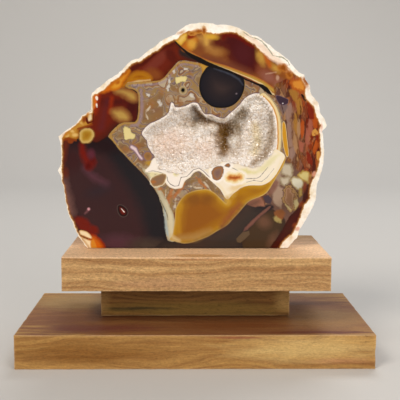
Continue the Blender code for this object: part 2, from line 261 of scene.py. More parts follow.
UPPER_LEFT = (
    mark("red_lobe", ((-0.2, "#2c120d", 0), (0.15, "#2c120d"), (1, "#4c1a10"), (5, "#641c0b")),
        area((88, 96), (98, 90), (108, 83), (118, 80), (124, 86), (128, 88.3), (133, 89.3), (136.8, 91.8),
            (138.3, 96), (138.5, 105), (138.2, 113), (137.3, 119), (135, 122), (130, 122.3), (124, 122.5),
            (119, 124.5), (114, 129), (110, 133.5), (108, 136.5), (97, 143), (88, 140), (75, 136), (60, 142),
            (56, 134), (80, 112))),
    mark("red_lobe_dark", flat("#3f0f0d", 4, 0.9), oval(131, 108, 6, 10), oval(118, 102, 16, 3),
        wobble=(0.8, 0.3)),
    # Painted reflection: a faint mauve haze down the red lobe's left side
    mark("red_lobe_painted_reflection", flat("#562228", 3.2, 0.55), vein((107, 100, 2), (104, 113, 2), (101, 128, 3)),
        wobble=(1, 0.3)),
    mark("red_lobe_glow", flat("#8a2806", 2.4), vein((99, 92, 2.5), (97, 102, 2), (95, 112, 2)),
        vein((112, 98, 1.5), (110, 112, 1.5)), wobble=(0.8, 0.3)),
    mark("edge_orange", flat("#c5620f", 2), vein((103, 91, 2.5), (112, 86, 3.5), (124, 76, 3)),
        wobble=(0.8, 0.3)),
    mark("edge_yellow", flat("#d7a233", 1.6, 0.9), vein((113, 88, 1.5), (119, 86, 1.5)),
        oval(121, 80, 3, 2, -40)),
    mark("blurred_beiges", ((-2, "#70381a", 0), (0.2, "#8d5c2e", 0.9), (2.4, "#b08c46")),
        area((115, 89.4), (122.7, 88.2), (129.4, 90), (134.8, 92), (137, 96), (136.6, 100.6), (131.3, 101),
            (126.5, 97.8), (120.8, 94.8), (116, 93)),
        area((111.5, 110.5), (120.8, 108.8), (127, 112), (130, 118), (127, 121.5), (119.8, 121),
            (114, 116.8)), wobble=(0.6, 0.2)),
    mark("red_lobe_line", flat("#33201a", 0.4), vein((124, 86.2, 0.5), (132, 89, 0.6), (137.2, 92.6, 0.7))),
    mark("amber_border", ((-0.6, "#6a3210", 0), (0.3, "#9a5c18"), (1.6, "#b98431")),
        area((56, 134), (64, 131), (72, 125.5), (80, 118), (86, 111), (92, 112), (93.5, 119), (90, 125),
            (84, 127.5), (79, 130), (78, 138), (72, 139.5), (66, 138), (62, 141)), wobble=(0.7, 0.4)),
    mark("amber_flecks", flat("#d9b26a", 0.8, 0.9), oval(72, 131, 2.6, 1.5, 30), oval(66.5, 135, 2.5, 2),
        oval(80, 122, 3, 1, 40), oval(75, 135, 3, 1.6)),
    mark("amber_rust", flat("#83390f", 0.8, 0.95), vein((62, 140.5, 0.8), (69, 138.5, 1.2), (76, 140.5, 0.8)),
        oval(70.5, 141, 3, 2.6), oval(84.5, 119, 2, 3.4, 20),
        vein((77.7, 128.8, 0.8), (83.5, 127.6, 1), (92, 124.6, 0.9)), oval(63, 134.5, 1.2, 1)),
    mark("pale_facet", ((-0.2, "#6a2410", 0), (0.1, "#a5764c"), (0.7, "#dcc79e")),
        shard((87.2, 112.5), (91.8, 111.6), (92.4, 119.6), (90.2, 121.2), (87.6, 121.8)), wobble=(0.1, 0.15)),
    mark("facet_lines", flat("#5a1707", 0.35),
        vein((86.2, 113, 0.9), (87, 121, 1.1), (88, 123.1, 0.9), (93.2, 121.2, 0.8), (93.4, 113, 0.6))),
    mark("ochre_blob", ((-0.5, "#5d2a10", 0), (0.1, "#8a6230", 0.9), (0.6, "#c4a664"), (1.3, "#be9c50"),
            (2.3, "#a88028"), (3.8, "#9c6c18")),
        area((79.2, 135.5), (79.6, 131.6), (82.4, 128.8), (86.4, 127.8), (91.1, 128.6), (93.7, 131.5),
            (94.7, 135.3), (92.6, 139.6), (88.3, 143.2), (82.5, 143.2), (79.4, 140.1)), wobble=(0.45, 0.25)),
    mark("edge_sliver", flat("#c9621f", 0.9),
        area((92, 95), (97.5, 94.5), (97, 101), (94.5, 109), (91.5, 110))),
    mark("edge_chips", flat("#f1e3d2", 0.4),
        area((95.3, 96.4), (97.4, 96.2), (98, 99.4), (96.8, 100.8), (95.6, 99)),
        oval(96.7, 105.3, 0.9, 2, -10), vein((92.2, 95, 0.7), (92.4, 103, 0.5), (92.2, 110, 0.9))),
)

ABOVE_MOSS = (
    mark("red_wedge", ((-0.2, "#3a150c", 0), (0.2, "#4f180b"), (1.8, "#5c1c0a"), (4, "#651f0e")),
        area((120, 72), (126.5, 66), (134.2, 60), (141.8, 56), (151.4, 49), (158.1, 43), (165.8, 39),
            (171, 37), (177.2, 44.7), (185.8, 50.4), (192.5, 54.2), (202, 58.5), (210, 66), (203.5, 65),
            (199, 63), (191.6, 61.9), (184, 60.8), (178.5, 62), (173.5, 67), (168, 73.5), (164, 78.3),
            (160, 80.6), (153, 82), (145, 83), (131, 83.5), (126, 86), (118, 86))),
    mark("wedge_edge", flat("#4c1206", 1.6, 0.95),
        vein((128, 71.5, 1.5), (137, 66.5, 2), (146, 61.5, 2), (154, 54.5, 2), (163, 48, 1.8), (172, 44, 2)),
        wobble=(0.5, 0.3)),
    mark("wedge_streak", flat("#713023", 2.4, 0.85),
        area((143, 69.5), (150, 62), (156, 56), (163, 51), (167, 52), (166, 58), (160, 65), (152, 70),
            (147, 71)), wobble=(0.6, 0.2)),
    mark("wedge_brown", flat("#80431b", 3, 0.9), oval(154, 74, 8, 5, 20), wobble=(0.6, 0.2)),
    mark("wedge_deep", flat("#4f150b", 2.5, 0.9), oval(171, 55, 5, 8, -30), wobble=(0.6, 0.2)),
    mark("wedge_dark", flat("#2a1f1d", 2.2),
        area((180, 49), (187, 51.5), (194, 54.5), (203, 59), (212, 66), (203, 64), (193, 60.5), (185, 58),
            (179, 54)), wobble=(0.4, 0.2)),
    mark("amber_lens", ((-1.4, "#8a4a16", 0), (0.2, "#a06212"), (1.6, "#a86c10"), (3, "#935206")),
        area((123, 86.5), (126.5, 81), (131, 74.8), (137, 71.8), (144.7, 72.5), (150.2, 76), (151.4, 79.5),
            (145.7, 81.4), (138, 81.8), (131.3, 82.4)), wobble=(0.3, 0.2)),
    mark("lens_rim", flat("#cdae78", 0.9, 0.9), vein((128, 83.5, 0.7), (138, 81.2, 0.9), (150, 80, 0.5))),
    mark("edge_ambers", ((-1, "#8e4a0e", 0), (0.2, "#b9680f"), (1.6, "#d18f2a")),
        area((110, 87), (116, 81), (122, 75.5), (128, 70), (130, 71.5), (126.5, 77), (123, 83), (120, 88),
            (114, 90)), wobble=(0.5, 0.2)),
    mark("edge_rust", flat("#a04508", 1, 0.8), oval(118, 82.5, 2.4, 1.4, -40), oval(126, 73, 2.4, 1, -40)),
    mark("upper_band", ((-0.2, "#4a2014", 0), (0.2, "#8a4c1a"), (1.2, "#86491c"), (3, "#80481f")),
        area((172.4, 37.6), (178, 33), (186, 30), (196, 28), (208, 29), (222, 30), (234, 31), (243, 36),
            (249, 40), (256, 45), (262, 50), (268, 56), (274, 64), (280, 70), (287, 75), (296, 80), (300, 88),
            (296, 98), (291, 101), (285, 99), (276, 95), (266, 87), (258, 82), (250, 79), (240, 75),
            (230, 71), (222, 68), (212, 65.5), (205, 62.5), (196, 58.5), (187, 53), (181, 47.5), (176, 42.5)),
        wobble=(0.1, 0.1)),
    mark("beige_column", flat("#bd8c44", 4, 0.95), vein((199, 38, 2), (205, 40, 4), (213, 35, 4)),
        wobble=(1.2, 0.4)),
    mark("tan_column", flat("#a8763a", 4, 0.85), vein((204, 42, 4), (209, 46, 5), (217, 51, 4)),
        wobble=(1.2, 0.4)),
    mark("column_shine", flat("#cfa24c", 2.6, 0.8), vein((207, 37, 1.5), (206, 43, 2)), wobble=(1, 0.4)),
    mark("yellow_tip", ((-0.8, "#c98f2c", 0), (0.4, "#d4a43a"), (1.8, "#ddb65c")),
        area((173, 37.6), (179, 34.5), (186, 33), (187, 38), (184, 42), (181, 45), (177, 42)),
        wobble=(0.3, 0.2)),
    mark("tip_orange", flat("#b4651a", 2.2), oval(188, 46, 6, 5, -30), oval(194, 40, 4, 3),
        wobble=(0.5, 0.2)),
    mark("tip_gold", flat("#cf9b3c", 3, 0.9), oval(192, 43.5, 4.4, 5, 0), wobble=(0.9, 0.3)),
    mark("red_spot", flat("#84280b", 1.2), oval(191, 36.6, 4.5, 2.2, -15), wobble=(0.3, 0.2)),
    mark("mauve_finger", flat("#783f20", 4, 0.9), oval(200.5, 48, 3, 4.5), oval(222, 43.5, 7, 3, -5),
        wobble=(1.2, 0.4)),
    mark("maroon_cloud", ((-3.2, "#70391f", 0), (0.6, "#541a10", 0.95), (4, "#461211")),
        area((222, 32), (228, 29), (238, 31), (248, 37), (256, 43), (262, 48), (259, 55), (258, 63),
            (257, 71), (247, 71), (236, 66), (229, 58), (226, 50), (221, 47), (214, 44), (216, 40),
            (222, 39)), wobble=(1.4, 0.4)),
    mark("maroon_mauve", flat("#4c191c", 5, 0.8), oval(243, 54, 8, 10, -20), wobble=(0.8, 0.2)),
    mark("maroon_edge", flat("#5f1206", 1.4),
        vein((223.5, 38, 2), (226, 33.5, 3.2), (234, 34.6, 2.8), (242, 39, 2.2), (250, 44.5, 2),
            (260, 49.3, 0.8)), wobble=(0.6, 0.4)),
    mark("band_mauve", flat("#6b3826", 4, 0.9), vein((205, 58, 2), (220, 63, 4), (235, 68, 4), (248, 73, 3)),
        wobble=(0.8, 0.3)),
    mark("band_tan", flat("#94622e", 3, 0.7), oval(219, 51, 7, 3, 10), wobble=(1, 0.3)),
    mark("right_rose", flat("#7c4028", 4, 0.95), oval(268, 75, 9, 8, 30), oval(261, 70, 4, 6),
        wobble=(1.2, 0.4)),
    mark("right_mauve", flat("#8c5848", 3, 0.9), oval(279, 84, 6, 5, 40), oval(268, 77, 7, 4, 30),
        wobble=(1, 0.4)),
    mark("right_gold", flat("#b98c3c", 3, 0.95), oval(261, 57, 4, 7, -20), oval(275, 68, 5, 3, 40),
        wobble=(1, 0.3)),
    mark("right_orange", flat("#ae581a", 1.8), vein((265, 55, 1.6), (268, 61, 2.4), (270, 66, 1.6))),
    mark("right_chips", flat("#c9a48a", 0.8, 0.6), vein((265.8, 73.9, 0.5), (276, 72.2, 0.6)),
        oval(277.5, 78, 1.6, 2.4)),
    mark("band_gold", ((-0.3, "#8c4a22", 0), (0, "#a0582a"), (0.5, "#a87430"), (1.2, "#b18c3c")),
        vein((183, 47.5, 0.5), (190, 52.6, 1), (200, 58.2, 1.2), (212, 63.2, 1.4), (226, 67.3, 1.6),
            (241, 73, 1.8), (254, 78.4, 2.2), (263, 83, 2.4), (271, 89, 2.6), (280, 94, 2.2),
            (288, 97.5, 1.4)), wobble=(0.1, 0.1)),
    mark("band_cream", flat("#d9c392", 0.25, 0.85),
        vein((184, 50.2, 0.2), (205, 61.4, 0.3), (230, 70.2, 0.35), (250, 78.2, 0.5), (262, 84, 0.7),
            (271, 92.3, 0.9)),
        vein((270, 92.6, 0.8), (276, 95.2, 0.9), (284, 98.6, 0.9), (291, 101.2, 0.6)), wobble=(0, 0.08)),
)

MOSS = (
    mark("moss", ((-0.15, "#8a6a3c", 0), (0.15, "#8a6a3c")),
        area((207.8, 66.6), (203.5, 64.5), (199, 62.8), (191.6, 61.5), (184, 60.3), (178.5, 61.5),
            (173.5, 66.5), (168, 73), (164, 77.8), (160, 80.3), (153, 81.3), (146, 82), (138, 82),
            (131, 82.3), (127, 83.5), (125, 86), (128, 88.3), (133, 89.3), (136.8, 91.8), (138.3, 96),
            (138.5, 105), (138.2, 113), (137.3, 119), (135, 122), (130, 122.3), (124, 122.5), (119, 124.5),
            (114, 129), (110, 133.5), (108, 136.5), (111, 139), (114, 142.5), (119, 149.5), (125, 155.5),
            (131, 162), (137, 168), (142, 173), (148, 180), (153, 187), (158, 195), (162, 204), (166, 213),
            (173, 214), (176, 209), (182, 200), (190, 194), (200, 192), (210, 193), (218, 199), (226, 206),
            (230, 201), (236, 191), (246, 187), (258, 187), (268, 181), (276, 172), (284, 158), (286, 140),
            (286, 120), (280, 104), (270, 93), (258, 84), (250, 81), (244, 78.5), (238, 75), (226, 70),
            (214, 66.8)), fill="moss", wobble=(0.1, 0.1)),
    mark("moss_border", flat("#a9823f", 0.5, 0.85),
        vein((206, 67, 0.7), (199, 64.2, 0.9), (191.6, 63, 0.9), (184, 61.7, 0.8), (179, 62.8, 0.7),
            (174.2, 67.4, 0.7), (168.6, 73.8, 0.6), (164.4, 78.6, 0.6), (160, 81, 0.7), (153, 82.1, 0.8),
            (146, 82.8, 0.9), (138, 83, 0.9), (131, 83.4, 0.9), (127, 84.6, 0.8), (126.4, 86, 0.7),
            (129, 87.6, 0.6), (134, 88.8, 0.6), (137.9, 91.4, 0.6), (139.2, 96, 0.6), (139.4, 105, 0.6),
            (139, 113, 0.7), (138, 119.6, 0.8), (135.4, 122.8, 0.8), (130, 123.2, 0.8), (124, 123.4, 0.9),
            (119.6, 125.4, 1), (114.8, 129.8, 1.1), (110.8, 134.4, 1.3), (110.6, 137, 1.3),
            (112.4, 139.4, 1.1), (115, 142.6, 0.8), (119.8, 149, 0.6), (125.8, 155, 0.5), (132, 161.6, 0.5),
            (138, 167.6, 0.4)), wobble=(0.2, 0.2)),
    mark("moss_lilac_border", flat("#97818a", 1.2, 0.7),
        vein((198, 66.6, 0.6), (191.6, 65.2, 0.7), (184, 64, 0.6), (180, 65.2, 0.6), (176, 69.4, 0.6),
            (170, 76, 0.6), (166, 80.6, 0.7), (160, 83.4, 0.8), (152, 84.6, 0.8), (142, 85.4, 0.8),
            (132, 85.6, 0.7)),
        vein((140.8, 90, 0.9), (141.8, 97, 1.2), (141.8, 108, 1.4), (141, 118, 1.4), (138, 124.6, 1.2),
            (131, 125.6, 0.9)), wobble=(0.4, 0.2)),
    mark("amber_point", ((-0.1, "#8e6a2a", 0), (0.1, "#a5772a"), (0.8, "#b78a36")),
        area((208, 66.6), (203.5, 64.5), (198, 63), (201, 67), (202, 72), (200, 78), (202.6, 74.5),
            (205, 70))),
    mark("cream_patches", ((-0.4, "#6a5560", 0), (-0.1, "#6a5560", 0.8), (0.1, "#b9a86e"), (0.7, "#dccb8e")),
        shard((174.8, 78), (182, 75.6), (187.3, 76.5), (187, 79.5), (186, 81.8), (182, 82), (179.5, 83.4),
            (176.2, 83.8)),
        area((123.5, 128), (127.6, 127), (130.5, 129.5), (131.5, 132.2), (135.4, 135), (133.8, 139),
            (128.5, 139.6), (124, 138.5)), wobble=(0.9, 0.5)),
    mark("moss_rings", ((-1.6, "#c6b390", 0), (-1, "#b9a580", 0.8), (-0.3, "#8f7a50", 0.9), (0.1, "#0c0908")),
        oval(183, 90.2, 1.6, 1.9)),
    mark("moss_orange", flat("#98602e", 2, 0.5), oval(172, 73, 2.2, 1.8), oval(190, 73.5, 2, 1.6),
        oval(162, 91, 2, 4, -20), oval(180, 103, 3, 3), oval(151, 105, 3, 5, 15), oval(136, 146, 5, 3, 30),
        oval(168, 100, 2, 5, -15), oval(127, 150, 4, 3, 40), wobble=(1.6, 0.8)),
    mark("moss_streaks", flat("#b06a34", 0.9, 0.75), vein((158, 186, 1.2), (163, 194, 1.6), (165, 203, 0.9)),
        vein((172, 190, 1.2), (169, 198, 1.8), (167, 206, 0.8)),
        vein((184, 184, 1.4), (179, 190, 1.6), (174, 198, 0.8)), vein((162, 178, 3), (168, 181, 1.4)),
        vein((197, 178, 1.2), (202, 184, 1.5), (211, 193, 0.8)), wobble=(1.4, 0.8)),
    mark("moss_whites", flat("#cfc2ac", 0.6, 0.75), vein((166, 190, 0.5), (165, 199, 0.9), (169.5, 210, 0.8)),
        vein((176, 198, 0.6), (175, 207, 0.9)), vein((204, 182, 0.5), (209, 188, 0.7), (213.5, 195, 0.6)),
        vein((188, 186, 0.6), (196, 187.5, 1), (203, 188, 0.4)),
        vein((150, 106, 0.6), (146, 113, 0.7), (148, 119, 0.4)), wobble=(1, 0.6)),
    mark("moss_specks", flat("#cdc8c0", 0.6, 0.85), oval(148.5, 95, 1.8, 1), oval(160, 103.5, 1.8, 3.4, -10),
        oval(168.8, 85, 1, 4, 8), oval(191.5, 95.6, 2.2, 1.4, 30), oval(185.5, 69, 1.4, 1),
        oval(174, 71, 1, 1.6), wobble=(1.2, 0.8)),
    mark("pale_slot", ((-0.9, "#7c5c3c", 0), (-0.5, "#7b6068", 0.9), (0, "#a58a96"), (0.4, "#dcc6c8")),
        vein((131.6, 147, 1.6), (135, 149, 1.5), (138, 154, 0.9), (141.5, 158.5, 1.2)), wobble=(0.2, 0.2)),
    mark("brown_knot", ((-0.9, "#6f5668", 0), (-0.3, "#756070", 0.9), (0.3, "#9c7040"), (1.8, "#86603a")),
        oval(148, 156, 4, 4), wobble=(0.4, 0.2)),
    mark("ochre_knot", flat("#ad8534", 1.2), oval(150.5, 163.5, 5.5, 2.6, 5), wobble=(0.4, 0.2)),
)

SEAM_AND_DISC = (
    mark("disc", ((-0.35, "#b08c48", 0), (-0.1, "#9c7a3c", 0.9), (0.05, "#120f12"), (1.6, "#1d1a20"),
            (7, "#2a2224"), (12.5, "#3c2e2c")),
        area((207.6, 66.8), (204, 71), (201, 76), (199.4, 82), (199.2, 88), (200.6, 94), (203.6, 99.5),
            (208, 104), (213.5, 107), (220, 108), (226.5, 107.6), (232.5, 105.5), (237.6, 101.5), (241.5, 96),
            (243.9, 90), (244.7, 83), (243.9, 79.6), (241, 77), (236, 74), (230, 71.2), (222, 68.3),
            (214, 66)), wobble=(0, 0.08)),
    mark("disc_arc", flat("#3e414e", 1, 0.8),
        vein((214, 68.6, 0.3), (223, 71.4, 0.7), (232, 75, 0.9), (239, 79.4, 0.8), (243, 85, 0.4))),
    mark("disc_dot", flat("#7d7078", 0.5), oval(236.4, 93.7, 0.9, 0.8), wobble=(0, 0.1)),
    mark("seam", flat("#17110f", 0.3),
        vein((172.3, 38, 0.5), (176, 42.5, 0.7), (181, 47.5, 0.8), (187, 52.6, 1.2), (192, 56, 1.9),
            (200, 60, 2.3), (207, 63.7, 2.2), (214, 66, 1.6), (222, 68.7, 1.2), (230, 71.6, 1),
            (240, 76.2, 0.9), (246, 79.6, 0.7), (252, 82, 0.8), (258, 84.6, 1)),
        vein((257.5, 84, 0.7), (262, 86.2, 1.9), (266, 89.3, 2.3), (269, 92.3, 1.7), (271.6, 94.6, 0.6)),
        wobble=(0.05, 0.1)),
)

LOWER_MIDDLE = (
    mark("pale_strip", ((-0.25, "#8a8068", 0), (0.05, "#a89c80", 0.95), (1.2, "#bcb296"), (2.4, "#c4bc9c")),
        area((142, 168.5), (150.6, 180), (156.6, 190.6), (161, 203), (164, 215), (165.6, 228), (166.2, 235.6),
            (168.2, 240), (174.6, 241), (175.2, 228), (174, 216), (169, 206), (164.4, 196), (160, 187.6),
            (155, 179.6), (147, 170)), wobble=(0.5, 0.3)),
    mark("blue_strip", flat("#9db2b8", 1.6, 0.9),
        vein((164.6, 208, 0.2), (165.6, 221, 0.8), (166.8, 230, 1.2), (168, 235, 1)), wobble=(0.5, 0.3)),
    mark("cream_strip", flat("#cfc6a8", 2, 0.95),
        vein((165, 200, 0.6), (169.6, 212, 1.4), (171.2, 222, 2.2), (171.6, 232, 2.2)), wobble=(0.6, 0.3)),
    mark("strip_line", flat("#35322a", 0.6, 0.8),
        vein((160.4, 200, 0.2), (163.6, 207, 0.5), (167, 214, 0.4), (168, 220, 0.2))),
    mark("gold_lobes",
        ((-0.3, "#c0a870", 0), (0, "#c2a25c"), (0.7, "#b5871f"), (3, "#a06c14"), (8, "#8d5515")),
        area((175.4, 212), (177, 206), (181, 199.5), (186, 194.5), (193, 191.3), (200, 189.8), (206.6, 189.4),
            (213, 192), (220.5, 198.6), (226.5, 203.8), (228.5, 198.6), (232, 193), (238, 188),
            (245.5, 185.2), (254.7, 185), (262, 184.7), (269.5, 179.2), (275, 172), (279, 165.5),
            (283.5, 157), (285.5, 157.5), (283, 166.5), (277.5, 175), (271.8, 185), (266, 193), (259, 197),
            (250, 200.5), (245, 205), (240, 211), (233.5, 218), (227, 225), (217.7, 230.5), (208.5, 236),
            (199.2, 239.8), (191.6, 242.3), (184, 243.3), (177, 241.5), (170, 239.6), (172.6, 235),
            (173.8, 228), (175, 220)), wobble=(0.15, 0.1)),
    mark("gold_left", flat("#b5841d", 2.6, 0.9), vein((179, 232, 1.5), (178, 218, 2), (181, 205, 2)),
        wobble=(0.5, 0.2)),
    mark("gold_brown", flat("#7c4a18", 4, 0.8), oval(193, 199, 9, 6, -10), oval(207, 199, 8, 5),
        wobble=(0.8, 0.2)),
    mark("gold_pale", flat("#a68148", 4, 0.85), vein((180, 238, 2), (195, 237.5, 4), (210, 231, 2)),
        wobble=(0.8, 0.2)),
    mark("gold_bright", flat("#a9740e", 3, 0.9), oval(242, 191.5, 9, 4, 15), oval(231, 200, 4, 6, -40)),
    mark("gold_red", flat("#8a4a2c", 4, 0.9), vein((222, 226, 2), (233, 212, 3), (240, 205, 2)),
        wobble=(0.8, 0.2)),
    mark("gold_light", flat("#c99a3c", 1.6, 0.9), vein((270, 182, 1), (277, 172, 1.4), (283, 162, 1))),
    mark("gold_corner", flat("#cdb98c", 2.2, 0.85),
        vein((170.6, 234.6, 0.8), (173.6, 238, 1.8), (179, 240.6, 1.2))),
    mark("gold_fade", flat("#41312a", 6),
        vein((180, 248.5, 2.5), (193, 246.6, 3), (202, 243.6, 3), (211, 239, 3), (221, 233.4, 3),
            (230, 227, 3), (237.4, 219.6, 2.8), (243.6, 212.4, 2.6), (249, 206, 2), (258, 201.4, 0.6)),
        wobble=(1, 0.3)),
)

BRECCIA = (
    mark("breccia", ((-0.4, "#6b4030", 0), (0.4, "#6b4030")),
        area((274, 86), (284, 80), (296, 76), (306, 84), (314, 96), (322, 110), (330, 126), (328, 150),
            (326, 168), (318, 190), (310, 210), (300, 226), (292, 240), (284, 252), (246, 252), (248, 232),
            (254, 212), (262, 199), (270, 186), (277, 172), (284, 158), (286, 148), (285, 130), (281, 112),
            (276, 100)), fill="breccia"),
    mark("lilac_shards", flat("#93766a", 1, 0.8),
        shard((284.5, 108), (291, 103), (292.6, 112), (288.5, 124), (286, 120)),
        shard((286, 124), (290.5, 121), (291.5, 134), (292.5, 146), (288.5, 148), (287.4, 136)),
        shard((288.5, 149), (294.5, 146), (295.5, 154), (292, 160), (288.3, 157)), wobble=(0.8, 0.5)),
    mark("grey_shards", flat("#6e5d5c", 0.9, 0.9),
        shard((278, 101), (285.5, 101), (288, 106), (283, 116), (280.2, 109))),
    mark("purple_shard", ((-0.3, "#8a7580", 0), (0, "#6a5560", 0.9), (0.3, "#3b2b37")),
        shard((275.5, 95.4), (281, 96), (288.5, 99.5), (288, 103.5), (283.5, 105.5), (279.5, 104),
            (276.8, 100))),
    mark("white_dot", flat("#e8dde2", 0.4), oval(282.7, 103.4, 0.7, 0.6), wobble=(0, 0.1)),
    mark("gold_shards", flat("#a0702e", 1, 0.85),
        shard((289, 90), (295.5, 88.5), (298.5, 94), (297, 103), (293.5, 101), (291, 96)),
        shard((295.6, 101), (300.5, 97), (302.4, 106), (301, 115), (297.4, 113)),
        shard((294.2, 112), (297, 114), (298.6, 124), (296.4, 136), (293.6, 128)), wobble=(0.8, 0.5)),
    mark("orange_corner", ((-1.2, "#8e4a1c", 0), (0.4, "#a9541a", 0.95), (1.6, "#cc8430")),
        area((290, 82), (296, 79), (302.5, 80), (306, 86), (304.5, 92), (299, 91), (294, 89)),
        wobble=(1.2, 0.7)),
    mark("orange_shards", flat("#aa4c16", 0.8, 0.9),
        shard((301.5, 118), (304.6, 122), (304, 134), (301.4, 141), (300.4, 130)),
        shard((313.8, 113), (317.2, 112.5), (318.6, 120), (317.4, 128.5), (313.6, 128), (312.6, 121)),
        shard((312.5, 143), (317.5, 138), (318, 147), (314.6, 154), (311.8, 150)), wobble=(0.8, 0.5)),
    mark("amber_shards", flat("#cf9344", 0.5, 0.9),
        shard((311.5, 131), (315.5, 128.5), (319, 133), (316, 136), (312, 136)),
        area((316.8, 152), (319.6, 151.6), (320.4, 156.5), (318.8, 160.8), (316.6, 158))),
    mark("red_shards", flat("#77200d", 0.8, 0.95),
        shard((306.4, 102.5), (312.5, 102.5), (314.3, 108), (313.6, 119), (309.5, 119.4), (307.4, 111)),
        shard((317.6, 112.6), (319.4, 118), (319.6, 126), (317.8, 128.6), (318.8, 120)),
        shard((314.5, 133.5), (320, 136), (320.2, 141.5), (316.4, 140.5)),
        shard((306, 150), (311, 155), (312.5, 165), (307.5, 163)), wobble=(0.8, 0.5)),
    mark("rose_shards", flat("#a05c48", 1, 0.85),
        shard((308.8, 119), (312.2, 120), (313, 131), (309.6, 136), (307.6, 128)),
        shard((305.4, 128), (308.6, 130), (309.6, 143), (306.4, 147), (304.8, 138)),
        shard((299, 140), (303.8, 143), (303, 153), (299.4, 150)), wobble=(0.8, 0.5)),
    mark("tan_shards", flat("#a47d58", 0.6, 0.85),
        shard((297.5, 118), (300, 120), (300.2, 134), (298.4, 140), (296.8, 130)),
        shard((293.8, 130), (296.6, 138), (298, 148), (295, 152), (292.8, 142))),
    mark("black_slit", flat("#160c0a", 0.3), vein((301.8, 94.8, 0.7), (304, 97.4, 1.4), (305.6, 100.6, 0.7))),
    mark("dark_slits", flat("#3c1810", 0.4, 0.75),
        vein((299.4, 101, 0.3), (301, 109, 0.6), (300.4, 117, 0.3)),
        vein((296.3, 112, 0.3), (298.4, 122, 0.5)),
        vein((304.6, 118, 0.4), (305.2, 130, 0.8), (304.4, 142, 0.4)),
        vein((306, 104, 0.3), (308.6, 118, 0.5)), vein((310, 150, 0.3), (314.4, 162, 1.2), (313.6, 173, 2)),
        vein((314.6, 140.5, 0.8), (311.5, 152, 0.5)),
        vein((286, 120, 0.4), (286.8, 134, 0.4), (288.2, 148, 0.5)),
        vein((281.4, 104, 0.5), (283.6, 113, 0.4)), wobble=(0.4, 0.2)),
)

